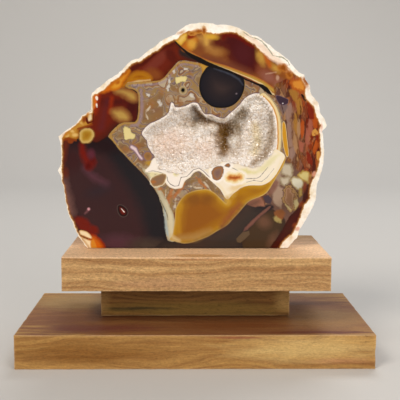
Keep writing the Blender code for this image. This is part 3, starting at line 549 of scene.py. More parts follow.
LARGE_SHARDS = (
    mark("shard_ground", flat("#6a4c40", 1.5),
        area((279, 163), (287, 161), (296, 169), (304, 174), (313, 177), (312, 184), (306, 192), (303, 203),
            (297, 212), (288, 220), (281, 232), (270, 245), (264, 240), (258, 226), (262, 212), (268, 200),
            (272, 188))),
    mark("olive_brown", ((-0.6, "#36261f", 0), (0.2, "#39281f"), (3.5, "#433120")),
        area((246, 228), (252, 220), (260, 214), (269, 209), (277, 212), (284, 218), (285, 226), (281, 234),
            (275, 243), (269, 252), (238, 252), (242, 238)), wobble=(0.4, 0.2)),
    mark("brown_veil", flat("#6b4a38", 4, 0.8), oval(264, 222, 7, 6, 30), oval(273, 240, 4, 7, 30),
        wobble=(0.8, 0.3)),
    mark("purple_black", flat("#2a2124", 1.2),
        area((242, 213), (246.5, 208), (254, 206.4), (262, 205.8), (271, 204.4), (274, 208), (268, 211),
            (260, 215), (252, 221), (245.8, 226.6), (242, 222)), wobble=(0.2, 0.2)),
    mark("rose_shard", flat("#96644f", 1),
        shard((246.4, 200.6), (253, 198), (260.5, 196.6), (263.5, 201.6), (264.8, 206.6), (258, 205.4),
            (254, 208.4), (248.4, 206.6))),
    mark("plum_shard", flat("#45373f", 0.6),
        shard((262.8, 196.4), (268.6, 194.8), (272.4, 199.5), (270.6, 204), (265.6, 203))),
    mark("pink_shards", flat("#a08672", 1.4),
        shard((272.2, 190), (277.6, 185.4), (283, 188), (284, 198), (281, 208.6), (276.2, 205), (272.6, 201)),
        shard((274, 173.5), (280, 167), (281.4, 176), (279.4, 186), (274.4, 185)), wobble=(0.9, 0.5)),
    mark("brown_rose", flat("#80584a", 1.4, 0.9),
        shard((270.6, 184.6), (275.4, 179), (279, 182), (276.4, 188.6), (272.6, 194), (268.4, 194))),
    mark("grey_creams", ((-0.7, "#6c5a4a", 0), (0.2, "#988669", 0.9), (1.4, "#bdb09a")),
        shard((280.6, 166.4), (284.6, 163), (291, 164), (293, 170), (291.4, 176.4), (286, 176),
            (281.6, 173.4)),
        shard((279.6, 177.4), (285.6, 177), (291, 176.6), (289.4, 183), (285, 186.6), (280.6, 184.4)),
        wobble=(0.9, 0.5)),
    mark("white_shard", ((-0.5, "#8a6a3c", 0), (0.1, "#a89464", 0.9), (1.1, "#cfcab4")),
        shard((290, 180), (294, 176.6), (302.4, 178.6), (303.6, 184), (301, 190.6), (297, 189.6),
            (293, 185.4)), wobble=(0.8, 0.4)),
    mark("green_creams", ((-0.6, "#8a5a28", 0), (0.2, "#a8883e", 0.95), (1.4, "#c8b878")),
        shard((297.2, 174.6), (303, 170.6), (308.6, 171.6), (311.4, 176), (309.4, 183.4), (304.6, 182),
            (300.4, 178.4)),
        shard((292.4, 203), (296.4, 199.6), (298.4, 204), (296, 209.6), (292.8, 210.8)),
        shard((299.4, 188), (302.4, 189), (301.8, 195), (299.6, 196.6)), wobble=(0.9, 0.5)),
    mark("ringed_shard", ((-0.3, "#3d2b22", 0), (-0.05, "#52392a"), (0.3, "#94744c"), (1, "#a07a50"),
            (1.5, "#6e4f2c"), (2.2, "#a07c60"), (3.4, "#8a6448")),
        area((284.4, 187), (289, 184.6), (293.4, 188), (296.6, 194), (297.2, 201), (295.6, 208),
            (291.6, 211.8), (287.4, 209), (283, 203.4), (282.4, 196)), wobble=(2, 1)),
    mark("ring_rim", flat("#c4b684", 0.8, 0.9), vein((285, 204, 0.5), (290.5, 209.6, 0.9)),
        shard((293.4, 200), (297.4, 199.6), (298.6, 204), (295, 210)), wobble=(0.8, 0.4)),
    mark("orange_bits", flat("#84502c", 1.2),
        area((274.6, 212.6), (278, 209.4), (283.6, 210.6), (284.6, 216), (281, 220.6), (276.4, 219)),
        wobble=(1, 0.5)),
    mark("yellow_bit", flat("#9f8c54", 0.9),
        shard((272.6, 217.4), (276, 216), (281.8, 219.6), (281, 222.8), (276, 221.6)), wobble=(0.7, 0.4)),
    mark("red_border", ((-0.5, "#2e0f09", 0), (0.2, "#38110a"), (2, "#430f07")),
        area((322, 160), (316, 170), (312.4, 176), (310.6, 183), (305, 187.6), (303.4, 194), (302, 201),
            (296.6, 209.4), (290.6, 215.6), (286.4, 222.4), (282.4, 229.4), (277, 238), (270, 248),
            (268, 254), (286, 254), (300, 236), (312, 214), (320, 192), (326, 172)), wobble=(0.4, 0.3)),
    mark("red_border_glow", flat("#8a3a12", 1.4, 0.85), oval(304.6, 187, 1.8, 5, 10),
        oval(309.6, 178.6, 1.4, 4), oval(294.4, 225, 1.6, 2.4, 35), oval(301, 204, 1.6, 3, 30)),
    mark("low_shade", flat("#3c2818", 7, 0.4),
        vein((283, 207, 5), (292, 204, 7), (301, 192, 6), (308, 185, 3)), oval(292, 231, 5, 7, -30),
        wobble=(1.4, 0.6)),
)

BOTTOM_RIGHT = (
    mark("foot_grey", ((-0.2, "#2f2625", 0), (0.4, "#2d2524"), (4, "#382e29")),
        area((160, 243), (170, 240), (177, 242), (184, 243.6), (192, 242.6), (200, 240), (209, 236.2),
            (218, 230.8), (227, 225.2), (234, 218.2), (240, 211.4), (245.5, 205.2), (252, 206), (262, 209),
            (270, 208), (262, 216), (250, 228), (242, 240), (236, 252), (160, 252)), wobble=(0.3, 0.2)),
    mark("long_sliver", ((-0.3, "#2a1d1c", 0), (0, "#5f3f38"), (0.8, "#7a5044")),
        shard((243.4, 231.6), (245.4, 227), (252, 220.5), (260, 213.2), (268, 207), (271.4, 205.4),
            (269.4, 208.8), (262, 215.4), (254, 223), (247.6, 229.8)), wobble=(0.3, 0.3)),
    mark("beige_shard", flat("#5f4c38", 0.5),
        shard((236.3, 238.5), (243, 232), (249, 230.8), (249.8, 234.5), (245, 239), (240.3, 243),
            (237, 242))),
)

HOLLOW_RIM = (
    mark("mouth", ((-1.55, "#5a4650", 0), (-1.3, "#5f4a55", 0.8), (-1.05, "#75636b", 0.9), (-0.8, "#e6dad0"),
            (0.2, "#f6f0ea")),
        area(*HOLLOW_PX), wobble=(0.25, 0.25)),
    mark("right_shore", ((-0.35, "#c8b48e", 0), (-0.1, "#c8b48e", 0.9), (0, "#75695f", 0.9), (0.2, "#8f8068"),
            (0.35, "#dbc28c"), (1.4, "#e4cf9e"), (1.9, "#d9a860"), (2.2, "#b9772c"), (2.45, "#d9a86a"),
            (2.8, "#f3eae0")),
        area((262.5, 92.5), (268, 95.4), (273.6, 101.4), (278, 109.4), (280.8, 119), (281.6, 130),
            (281.6, 142), (280.6, 150), (278, 156), (268, 162), (256, 166), (250, 150), (250, 120),
            (256, 100)), wobble=(0.12, 0.12)),
    mark("cream_shore", ((-0.3, "#d9c7a0", 0), (-0.05, "#ebe0cc"), (1, "#eddfc0"), (2.4, "#efe4d0")),
        area((202, 166), (210, 164), (218, 162), (224, 158), (236, 160), (246, 163), (253, 164), (260, 161),
            (266, 155), (272, 148), (277, 150), (282, 153), (284.6, 156.4), (282, 163), (277.6, 171.4),
            (273.4, 177.4), (268.4, 182), (262, 184.8), (250, 185), (241.6, 187.2), (235.6, 191.6),
            (231, 195.6), (227.4, 199.4), (224, 195.4), (220.8, 189.6), (215.4, 184.4), (211, 180),
            (207, 175), (203, 170)), wobble=(0.2, 0.15)),
    mark("peach", flat("#e0c490", 1.6, 0.8), oval(236, 187, 8, 3, -20), wobble=(0.5, 0.2)),
    mark("tail_fade", flat("#c2993c", 2.6, 0.85), oval(227.6, 200.6, 3.4, 4), oval(233, 195.6, 3, 1.6, -45),
        wobble=(0.8, 0.4)),
    mark("shore_veil", flat("#dcd39c", 2, 0.7),
        vein((247, 172, 0.8), (256, 172.6, 1.6), (264, 168, 2.6), (272, 160, 2.6), (278, 155, 1.2)),
        wobble=(0.8, 0.4)),
    mark("white_shore", ((-0.3, "#cdbb9b", 0), (-0.1, "#e3d6bd"), (0.6, "#f2e9df")),
        vein((146.8, 170.6, 1.5), (152, 170.6, 2.2), (158, 171, 2.4), (163.6, 172, 2.8), (166.6, 176, 2.6),
            (168, 181, 2.8), (171.4, 184.6, 2.8), (175.6, 186.6, 2.4), (180, 185.6, 2.4), (182, 180, 2.6),
            (185, 177.6, 2.4), (188.6, 175.4, 2.2), (191.6, 171.6, 2.2), (196, 169, 2.2), (200, 168.6, 2),
            (205, 172.4, 1.8), (209, 176.8, 1.6), (213, 180.4, 1.4)),
        area((155, 166), (167, 169), (176, 171), (182, 172), (187, 168), (193, 164), (199, 165), (198, 170),
            (190, 174), (184, 178), (180.6, 182), (178.4, 186), (173, 185), (169, 180), (166.6, 175),
            (160, 171.6)),
        area((146.5, 169.6), (149.6, 166), (151.6, 161.6), (155, 158), (161, 161), (161.6, 168), (157, 171.6),
            (150, 172))),
    mark("pale_yellows", flat("#ddd292", 1.6, 0.85), oval(176.4, 172.6, 3, 3.2), oval(246, 171, 7, 2.4, 10),
        wobble=(0.8, 0.4)),
    mark("shore_line", flat("#6f6560", 0.25, 0.9),
        vein((148.6, 171.4, 0.25), (153, 170.8, 0.3), (158, 171.8, 0.35), (164.2, 173.6, 0.35),
            (167, 177, 0.35), (167.8, 181, 0.35), (170.4, 184.2, 0.35), (174.4, 186.2, 0.4),
            (178.6, 185.8, 0.4), (180, 181, 0.35), (181, 177.2, 0.35), (184, 177, 0.3), (187, 176.4, 0.35),
            (190.4, 173, 0.35), (193.6, 169.6, 0.35), (199, 168.2, 0.35), (203.4, 171, 0.35),
            (207.6, 175.4, 0.35), (212.6, 179.6, 0.3)),
        vein((229.6, 167, 0.25), (233.6, 168.4, 0.3), (239, 171.4, 0.35), (243.6, 174.6, 0.35),
            (245.8, 178.6, 0.35), (250, 178.6, 0.3), (257, 178.2, 0.3), (260, 176.6, 0.25),
            (263.6, 172.4, 0.2), (268, 167, 0.2)),
        vein((246.6, 182.2, 0.2), (254, 180.4, 0.2), (261.6, 181.6, 0.2), (267, 177.4, 0.2),
            (274, 168.6, 0.2)), wobble=(0.15, 0.12)),
    mark("left_islet", ((-1, "#ece0c6", 0), (-0.5, "#ece0c6", 0.9), (-0.1, "#a98a60"), (0.5, "#8c6a48"),
            (2, "#83654e"), (4, "#8f6b4c")),
        area((150.6, 180.6), (153.4, 177.6), (158.6, 175), (163, 174), (165.4, 175.6), (165, 180),
            (162.6, 184), (157.6, 186), (153, 185)), wobble=(0.6, 0.4)),
    mark("islet_top", flat("#e0d6a8", 1.2, 0.95), oval(152, 174.4, 3, 2.6, -20), oval(156.4, 173.4, 3, 1.4),
        wobble=(0.5, 0.3)),
    mark("islet_orange", flat("#b0682c", 1, 0.85), oval(153.6, 181.8, 2.2, 1.5), oval(160, 189, 2.6, 1.6),
        wobble=(0.5, 0.3)),
    mark("kidney", ((-2.2, "#f6efe6", 0), (-1.2, "#f6efe6"), (-0.45, "#f4ece2"), (-0.1, "#75655c"),
            (0.3, "#9a6438"), (1.4, "#8a6a58"), (2.6, "#7c5f58")),
        area((212, 170.4), (216, 167.4), (221, 166.6), (223.4, 169.6), (222.6, 174.6), (219.6, 179.4),
            (215, 179.8), (212.4, 176)),
        oval(227.4, 165.4, 2.2, 1.5, -10), wobble=(0.6, 0.4)),
    mark("shore_spots", ((-4.2, "#f5ede2", 0), (-2.8, "#f5ede2", 0.9), (-1.5, "#ecd9a4"), (-0.4, "#d89a54"),
            (0.6, "#a5521e")),
        vein((229.6, 177.4, 1.2), (234, 178, 1.7), (239.6, 177.2, 1.3)), wobble=(0.9, 0.5)),
    mark("gold_lens", ((-0.35, "#d9c79c", 0), (-0.1, "#d9c79c", 0.9), (0.15, "#c9932c"), (1.2, "#c48c24")),
        area((282.6, 123.6), (284.2, 122), (285.8, 128), (286.8, 138), (288.2, 150), (288.4, 155),
            (287.2, 157), (285.2, 152.5), (283.4, 144), (282.4, 134)), wobble=(0.1, 0.08)),
)

FACE_MARKS = (
    DARK_LOBE + UPPER_LEFT + ABOVE_MOSS + MOSS + BRECCIA + LARGE_SHARDS + BOTTOM_RIGHT + LOWER_MIDDLE
    + HOLLOW_RIM + SEAM_AND_DISC
)

# Tints of the crystals and of the wall behind them, with painted shade and painted light among them
DRUSE_MARKS = (
    mark("druse_pink", flat("#f8e4d8", 8, 0.8), oval(172, 144, 18, 14), oval(205, 150, 14, 8),
        wobble=(1.5, 0.5)),
    # Painted shade: grey under the hollow's top edge and on the steep left wall of the right bowl
    mark("druse_painted_shade_grey", flat("#cbb8a4", 4, 0.8), oval(238, 142, 5, 12), oval(188, 122, 8, 6),
        wobble=(1.2, 0.5)),
    mark("druse_gold", flat("#b08238", 6, 0.9),
        vein((203, 117, 4), (212, 124, 5), (222, 130, 8), (226, 140, 8), (225, 150, 5)), wobble=(1.8, 0.8)),
    # Painted shade: dusky brown under the lip at the top of the right bowl and in the pocket under the top
    # edge
    mark("druse_painted_dusk", flat("#8c744a", 5, 0.8), oval(241, 114, 8, 9, 30), oval(236, 126, 7, 9),
        oval(196.4, 124, 3.4, 3.6), wobble=(1.8, 1.2)),
    mark("druse_yellow", flat("#e8d6a6", 5, 0.8), vein((256, 126, 3), (259, 142, 4), (255, 153, 3)),
        wobble=(1.5, 0.6)),
    # Painted shade along the right rim of the hollow, where the lip overhangs the crystals
    mark("druse_edge_painted_shade", flat("#a88c66", 2.6, 0.8),
        vein((271, 112, 1.6), (272.6, 128, 2.2), (271, 144, 2.4), (265, 156, 3), (253, 164, 2.2)),
        wobble=(1, 0.6)),
    # The valley between the two lobes: the crystals' brown, darkened further with painted shade
    mark("druse_valley_brown_and_shade", flat("#76500c", 7, 1),
        vein((217, 123, 3.4), (224.4, 127, 7), (226, 136, 7.4), (225.2, 146, 5.6), (223, 153, 2.8)),
        wobble=(2, 0.7)),
    # The pocket under the top lip: brown, darkened further with painted shade
    mark("druse_pocket_brown_and_shade", flat("#694612", 4.4, 0.95),
        vein((194.6, 109, 3), (199.6, 115.4, 4.6), (207, 120.6, 3.8)), wobble=(1.2, 0.7)),
    mark("druse_lip", flat("#fffaf4", 1, 0.9),
        vein((198, 106, 0.8), (202, 112, 1), (208, 117.4, 1.4), (216, 120, 1.8), (224, 121.6, 1.8),
            (231, 117, 1.8), (238, 110.4, 1.6), (244, 104, 1.3), (249, 99, 0.8)), wobble=(0.6, 0.6)),
    # Painted light: near-white patches where the top of the right bowl and a glassy knob catch the light
    mark("druse_painted_light", flat("#fffaf4", 3, 0.9), oval(212, 128.6, 5.4, 4.4), oval(234, 142, 5, 5.4),
        oval(257, 104, 11, 7, -10), wobble=(1, 0.5)),
)

# Stains and lines on the white rind where the face's plane cuts it
RIND_MARKS = (
    mark("rind_amber", flat("#b8741c", 1.2, 0.9), oval(66, 134, 3.4, 1.8, -30), oval(87.6, 114.6, 1.4, 3),
        oval(93.2, 102, 1, 5), oval(181, 32.6, 3.4, 1.2, -20), wobble=(0.5, 0.4)),
    mark("rind_flower", ((-0.9, "#d9a860", 0), (-0.3, "#c98a3c", 0.8), (0.5, "#95500f")),
        oval(198.6, 31.4, 4.6, 1.5, -8), oval(204, 30.4, 1.7, 3), oval(192, 33.6, 3, 1.2), wobble=(0.5, 0.4)),
    mark("rind_gold", flat("#cfa030", 1.6, 0.9), oval(211.6, 37, 5.6, 2.2, 5), wobble=(0.5, 0.2)),
    mark("rind_pink", flat("#ecd2bc", 1.6, 0.8),
        vein((246, 35, 1.5), (256, 42, 2.5), (264, 49, 3), (272, 57, 3), (281, 63, 2.5), (290, 72, 2)),
        wobble=(0.8, 0.4)),
    mark("rind_line", flat("#8f8f78", 0.3, 0.85),
        vein((243, 31.6, 0.3), (250, 36.6, 0.3), (257, 38.6, 0.4), (262, 41.4, 0.5), (267, 47, 0.5),
            (272, 54, 0.5)),
        vein((273, 55.4, 0.4), (277, 56.4, 0.5), (283, 57.4, 0.5), (288, 61.4, 0.5), (289.4, 65, 0.3)),
        wobble=(0.4, 0.3)),
    mark("rind_orange", ((-1.2, "#d8a060", 0), (0, "#b06a24", 0.9), (1, "#8a480e")),
        oval(283.4, 67.6, 4.4, 3.4, 35), oval(289.4, 74.4, 2.6, 3.4, -20), oval(306, 82, 1.4, 3.4, -20),
        wobble=(1.2, 0.6)),
    mark("rind_rose", flat("#d99a80", 0.8, 0.8), oval(314, 174, 1.8, 3, 20), oval(297.4, 229, 2.4, 1.8, -30),
        oval(321.6, 127, 1, 4)),
)


def make_camera():
    data = bpy.data.cameras.new("camera")
    data.sensor_fit = "HORIZONTAL"
    data.sensor_width = SENSOR_MM
    data.lens = LENS_MM
    data.clip_start = 0.01
    camera = bpy.data.objects.new("camera", data)
    camera.matrix_world = (
        Matrix.Translation(Vector(CAMERA_PLACE_MM) * MM)
        @ Matrix.Rotation(-CAMERA_LOOKS_RIGHT, 4, "Z")
        @ Matrix.Rotation(math.pi / 2 - CAMERA_LOOKS_DOWN, 4, "X")
        @ Matrix.Rotation(CAMERA_TURN, 4, "Z")
    )
    bpy.context.scene.collection.objects.link(camera)
    bpy.context.scene.camera = camera


def on_face(x, y):
    """The point (x, z) of the face's plane that shows at a photo pixel, in metres."""
    pixels_per_tangent = PHOTO_SIDE * LENS_MM / SENSOR_MM
    matrix = bpy.context.scene.camera.matrix_world
    across = (x - PHOTO_SIDE / 2) / pixels_per_tangent
    up = (PHOTO_SIDE / 2 - y) / pixels_per_tangent
    ray = matrix.to_3x3() @ Vector((across, up, -1.0))
    eye = matrix.translation
    point = eye + ray * ((FACE_Y - eye.y) / ray.y)
    return point.x, point.z


# Outlines and distances on the face's plane, as numpy rows of (x, z) in metres

def mm_per_pixel():
    left, _ = on_face(SCALE_LEFT, FACE_MIDDLE)
    right, _ = on_face(SCALE_RIGHT, FACE_MIDDLE)
    return (right - left) / (SCALE_RIGHT - SCALE_LEFT) / MM


def rounded_loop(corners):
    """A closed curve through the corners."""
    before = np.roll(corners, 1, axis=0)
    after = np.roll(corners, -1, axis=0)
    beyond = np.roll(corners, -2, axis=0)
    rows = []
    for t in np.arange(CURVE_PIECES) / CURVE_PIECES:
        rows.append(
            0.5 * (
                2 * corners
                + (after - before) * t
                + (2 * before - 5 * corners + 4 * after - beyond) * t ** 2
                + (3 * corners - before - 3 * after + beyond) * t ** 3
            )
        )
    return np.stack(rows, axis=1).reshape(-1, 2)


def stepped_line(start, end):
    """Rows from start up to end, without end, no more than a face step apart."""
    pieces = max(1, math.ceil(np.linalg.norm((end - start)[:2]) / FACE_STEP))
    return np.array([start + (end - start) * i / pieces for i in range(pieces)])


def stepped_loop(corners):
    ends = np.roll(corners, -1, axis=0)
    return np.concatenate([stepped_line(start, end) for start, end in zip(corners, ends)])


def distance_inside(places, loop):
    """Distance of each place from a closed loop, positive inside it, up to the greatest one."""
    order = np.argsort(places[:, 1])
    ordered = places[order]
    heights = ordered[:, 1]
    nearest = np.full(len(places), GREATEST_DISTANCE)
    inside = np.zeros(len(places), bool)
    for start, end in zip(loop, np.roll(loop, -1, axis=0)):
        low, high = sorted((start[1], end[1]))
        first, last = np.searchsorted(heights, (low - GREATEST_DISTANCE, high + GREATEST_DISTANCE))
        away = distance_to_line(ordered[first:last], start, end)[0]
        nearest[first:last] = np.minimum(nearest[first:last], away)
        first, last = np.searchsorted(heights, (low, high))
        if last > first:
            offset = ordered[first:last] - start
            slope = (end[0] - start[0]) / (end[1] - start[1])
            inside[first:last] ^= offset[:, 0] < offset[:, 1] * slope
    distance = np.empty(len(places))
    distance[order] = np.where(inside, nearest, -nearest)
    return distance


def distance_to_line(places, start, end):
    """Each place's distance from a line, and how far along it the nearest point lies, from 0 to 1."""
    along = end - start
    offset = places - start
    share = np.clip(offset @ along / max(along @ along, 1e-18), 0.0, 1.0)
    away = offset - share[:, None] * along
    return np.hypot(away[:, 0], away[:, 1]), share


def outward_of(points, reach=1):
    """Unit directions out of a clockwise loop, each from the points reach places before and after."""
    ahead = np.roll(points, -reach, axis=0) - np.roll(points, reach, axis=0)
    outward = np.stack([-ahead[:, 1], ahead[:, 0]], axis=1)
    return outward / np.linalg.norm(outward, axis=1)[:, None]


def roughened(points, chips, seed):
    """The clockwise loop's points pushed in and out by noise of several sizes."""
    push = np.zeros(len(points))
    for size, height in chips:
        push += [height * noise.noise(Vector((x / size, seed, z / size))) for x, z in points]
    return points + outward_of(points) * push[:, None]


def outline_of_pixels(pixels):
    return np.array([on_face(x, y) for x, y in pixels])


# The stone's mesh

def stone_outline():
    """The face's outer outline with the sawn-off part, and how wide the white rind is at each point."""
    above = [on_face(x, y) for x, y, _ in SILHOUETTE_PX]
    scale = mm_per_pixel() * MM
    rind = [width * scale for _, _, width in SILHOUETTE_PX]
    below = [(x * MM, FOOT_Z + height * MM) for x, height in SAWN_OFF_MM]
    rind += [rind[0]] * len(below)
    points = stepped_loop(np.array([(*point, width) for point, width in zip(above + below, rind)]))
    if len(points) % 2:
        points = points[:-1]
    return roughened(points[:, :2], OUTLINE_CHIPS, OUTLINE_SEED), points[:, 2]


def agate_outline(outline, widths):
    """The inner border of the white rind."""
    return outline - outward_of(outline, 3) * widths[:, None]


def guide_lines(marks):
    """The middle lines of the veins, stepped for the face's mesh."""
    lines = []
    for item in marks:
        for kind, values in item.shapes:
            if kind == "vein":
                corners = outline_of_pixels([(x, y) for x, y, _ in values])
                steps = [stepped_line(start, end) for start, end in zip(corners, corners[1:])]
                lines.append(np.concatenate(steps + [corners[-1:]]))
    return lines


def face_sheet(outline, mouth, lines):
    """Triangles over the face and the mouth: points (x, z) and triples, the outline's points first."""
    low = outline.min(axis=0)
    high = outline.max(axis=0)
    row_step = FACE_STEP * math.sqrt(3) / 2
    rows = np.arange(low[1], high[1], row_step)
    columns = np.arange(low[0], high[0], FACE_STEP)
    grid = np.array([(x + FACE_STEP / 2 * (i % 2), z) for i, z in enumerate(rows) for x in columns])
    grid = grid[distance_inside(grid, outline) > GRID_GAP]
    fixed = np.concatenate([mouth] + lines)
    tree = kdtree.KDTree(len(fixed))
    for i, (x, z) in enumerate(fixed):
        tree.insert((x, z, 0.0), i)
    tree.balance()
    grid = np.array([(x, z) for x, z in grid if tree.find((x, z, 0.0))[2] > GRID_GAP])
    count = len(outline)
    ring = [(i, (i + 1) % count) for i in range(count)]
    lip = [(count + i, count + (i + 1) % len(mouth)) for i in range(len(mouth))]
    points = [outline, mouth]
    edges = ring + lip
    first = count + len(mouth)
    for line in lines:
        off_rim = distance_inside(line, outline) > LINE_TO_RIM
        inner = line[off_rim & (distance_inside(line, mouth) < -LINE_TO_MOUTH)]
        gaps = np.linalg.norm(np.diff(inner, axis=0), axis=1)
        edges += [(first + i, first + i + 1) for i, gap in enumerate(gaps) if gap < LINE_BREAK]
        points.append(inner)
        first += len(inner)
    points = np.concatenate(points + [grid])
    made = geometry.delaunay_2d_cdt([Vector(p) for p in points], edges, [], 1, 1e-9)
    corners, _, faces, origins = made[:4]
    order = {}
    for i, sources in enumerate(origins):
        for source in sources:
            order.setdefault(source, i)
    renumbered = [order[i] for i in range(count)]
    rest = [i for i in range(len(corners)) if i not in set(renumbered)]
    place = {old: new for new, old in enumerate(renumbered + rest)}
    flat = np.array([corners[i] for i in renumbered + rest])
    return flat, [[place[i] for i in face] for face in faces]


def hollow_depth(places, mouth):
    """How far behind the face the hollow's wall lies at each place, 0 outside the mouth."""
    inset = distance_inside(places, mouth)
    scale = mm_per_pixel() * MM
    floor = np.full(len(places), HOLLOW_LEVEL_DEPTH)
    for x, y, half_width, half_height, extra in HOLLOW_RELIEF:
        centre = on_face(x, y)
        across = (places[:, 0] - centre[0]) / (half_width * scale)
        up = (places[:, 1] - centre[1]) / (half_height * scale)
        floor += extra * MM * np.exp(-(across ** 2 + up ** 2) ** RELIEF_STEEPNESS)
    for size, height in HOLLOW_LUMPS:
        floor += [height * noise.noise(Vector((x / size, HOLLOW_SEED, z / size))) for x, z in places]
    share = np.clip(inset / HOLLOW_WALL_REACH, 0.0, 1.0)
    return np.where(inset > 0, floor * np.sqrt(1.0 - (1.0 - share) ** 2), 0.0)


def chipped(places, rind_border):
    """How far the rough white rind stands back from the polished plane at each place."""
    outside = np.clip(-distance_inside(places, rind_border) / SETBACK_REACH, 0.0, 1.0)
    rough = np.full(len(places), SETBACK)
    for size, seed, height in SETBACK_LUMPS:
        rough += [height * noise.noise(Vector((x, seed, z)) / size) for x, z in places]
    return outside * np.clip(rough, 0.0, None) * MM


def rounded_reaches(outline):
    """The outline's points from the stone's middle, with the corners averaged away."""
    offset = outline - np.array((STONE_CENTRE_X, STONE_CENTRE_Z))
    angle = np.arctan2(offset[:, 1], offset[:, 0])
    reach = np.hypot(offset[:, 0], offset[:, 1])
    away = (angle[:, None] - angle[None, :] + math.pi) % (2 * math.pi) - math.pi
    weight = np.clip(1.0 - (away / ROUNDING_REACH) ** 2, 0.0, None) ** 2
    mean = weight @ reach / weight.sum(axis=1)
    return np.stack([mean * np.cos(angle), mean * np.sin(angle)], axis=1)


def rind_height(point):
    return sum(height * noise.noise(point / size) for size, height in RIND_LUMPS)


def grain_height(point):
    lumps = sum(height * noise.noise(point / size) for size, height in RIND_GRAINS)
    pit = noise.noise(point / PIT_SIZE + PIT_SEED)
    return lumps - PIT_DEPTH * max(0.0, pit - PIT_LEVEL)


def rind_ring(outline, rounded, turn):
    """The rind's section at turn, from 0 at the face to 1 at the middle of the back."""
    angle = turn * math.pi / 2
    depth = STONE_THICKNESS * math.sin(angle)
    roundness = min(1.0, depth / ROUNDING_DEPTH)
    roundness = roundness * roundness * (3.0 - 2.0 * roundness)
    section = math.cos(angle) ** DOME_SQUARENESS
    middle = np.array((STONE_CENTRE_X, STONE_CENTRE_Z))
    offset = (outline - middle) * (1.0 - roundness) + rounded * roundness
    ring = []
    for x, z in offset * section:
        point = Vector((STONE_CENTRE_X + x, FACE_Y + depth, STONE_CENTRE_Z + z))
        outward = Vector((x, depth, z)).normalized()
        lift = rind_height(point) * min(1.0, LUMPS_RISE * turn)
        lift += grain_height(point) * min(1.0, GRAINS_RISE * turn)
        ring.append(point + outward * lift)
    return ring


def add_rind(stone, rim, outline):
    """Lofts the rind from the face's rim back to a point, at half the rim's count of points."""
    rounded = rounded_reaches(outline)
    rows = []
    for i in range(1, RIND_RINGS):
        ring = rind_ring(outline[::2], rounded[::2], i / RIND_RINGS)
        rows.append([stone.verts.new(point) for point in ring])
    count = len(rows[0])
    for i in range(count):
        j = (i + 1) % count
        near = (rim[2 * i], rim[2 * i + 1], rim[(2 * i + 2) % len(rim)])
        stone.faces.new((near[0], near[1], rows[0][i]))
        stone.faces.new((near[1], rows[0][j], rows[0][i]))
        stone.faces.new((near[1], near[2], rows[0][j]))
    for near, far in zip(rows, rows[1:]):
        for i in range(count):
            j = (i + 1) % count
            stone.faces.new((near[i], near[j], far[j], far[i]))
    back = Vector((STONE_CENTRE_X, FACE_Y + STONE_THICKNESS, STONE_CENTRE_Z))
    pole = stone.verts.new(back + Vector((0.0, rind_height(back), 0.0)))
    for i in range(count):
        stone.faces.new((rows[-1][i], rows[-1][(i + 1) % count], pole))


# The face is coloured in upright columns, each with only the marks that reach into it; their borders, and the
# room beyond them in which a mark still counts, are in photo pixels
FACE_COLUMNS = ((0, 128), (128, 178), (178, 236), (236, 278), (278, PHOTO_SIDE))
COLUMN_ROOM = 4.0
# Millimetres beyond a mark's outermost band up to which its depth is worked out
MARK_MARGIN = 3.0
HOLLOW_SLOT, RIND_SLOT, FOOT_SLOT, FIRST_FACE_SLOT = range(4)


def face_slot(x):
    """The material slot of the face's column at x."""
    return FIRST_FACE_SLOT + sum(x > on_face(left, FACE_MIDDLE)[0] for left, _ in FACE_COLUMNS[1:])


def reaches(item, left, right):
    """Whether a mark, with its outermost band, reaches into the column between two photo pixels."""
    room = (sum(item.wobble) - item.bands[0][0]) / mm_per_pixel() + COLUMN_ROOM
    for kind, values in item.shapes:
        if kind == "oval":
            reach = max(values[2:4])
            ends = [values[0] - reach, values[0] + reach]
        else:
            reach = max(value[2] for value in values) if kind == "vein" else 0.0
            ends = [value[0] + side for value in values for side in (-reach, reach)]
        if min(ends) - room < right and max(ends) + room > left:
            return True
    return False


def shape_depth(kind, values, places):
    """How far inside a mark's shape each place is, in millimetres."""
    scale = mm_per_pixel()
    if kind == "oval":
        x, y, half_width, half_height, turn = values
        offset = (places - on_face(x, y)) / MM / scale
        angle = math.radians(turn)
        across = offset[:, 0] * math.cos(angle) - offset[:, 1] * math.sin(angle)
        up = offset[:, 0] * math.sin(angle) + offset[:, 1] * math.cos(angle)
        return (1.0 - np.hypot(across / half_width, up / half_height)) * min(half_width, half_height) * scale
    if kind == "vein":
        corners = outline_of_pixels([(x, y) for x, y, _ in values])
        widths = [width * scale for _, _, width in values]
        depth = np.full(len(places), -np.inf)
        for start, end, first, last in zip(corners, corners[1:], widths, widths[1:]):
            away, share = distance_to_line(places, start, end)
            depth = np.maximum(depth, first + (last - first) * share - away / MM)
        return depth
    corners = outline_of_pixels(values)
    return distance_inside(places, corners if kind == "shard" else rounded_loop(corners)) / MM


def mark_values(item, places):
    """Where each place is on a mark's bands: 0 at the outermost band, 1 at the innermost."""
    low = item.bands[0][0]
    high = item.bands[-1][0]
    depth = np.full(len(places), low - MARK_MARGIN)
    for kind, values in item.shapes:
        if kind == "oval":
            reach = max(values[2:4])
            hull = np.array([(values[0] - reach, values[1] - reach), (values[0] + reach, values[1] + reach)])
        else:
            hull = np.array([value[:2] for value in values])
        corners = np.array([on_face(*hull.min(axis=0)), on_face(*hull.max(axis=0))])
        room = (MARK_MARGIN - low) * MM * 1.5
        near = np.all((places > corners.min(axis=0) - room) & (places < corners.max(axis=0) + room), axis=1)
        depth[near] = np.maximum(depth[near], shape_depth(kind, values, places[near]))
    return (depth - low) / (high - low)


def store(mesh, name, values):
    stored = mesh.attributes.new(name, "FLOAT", "POINT")
    stored.data.foreach_set("value", np.asarray(values, dtype=np.float32))


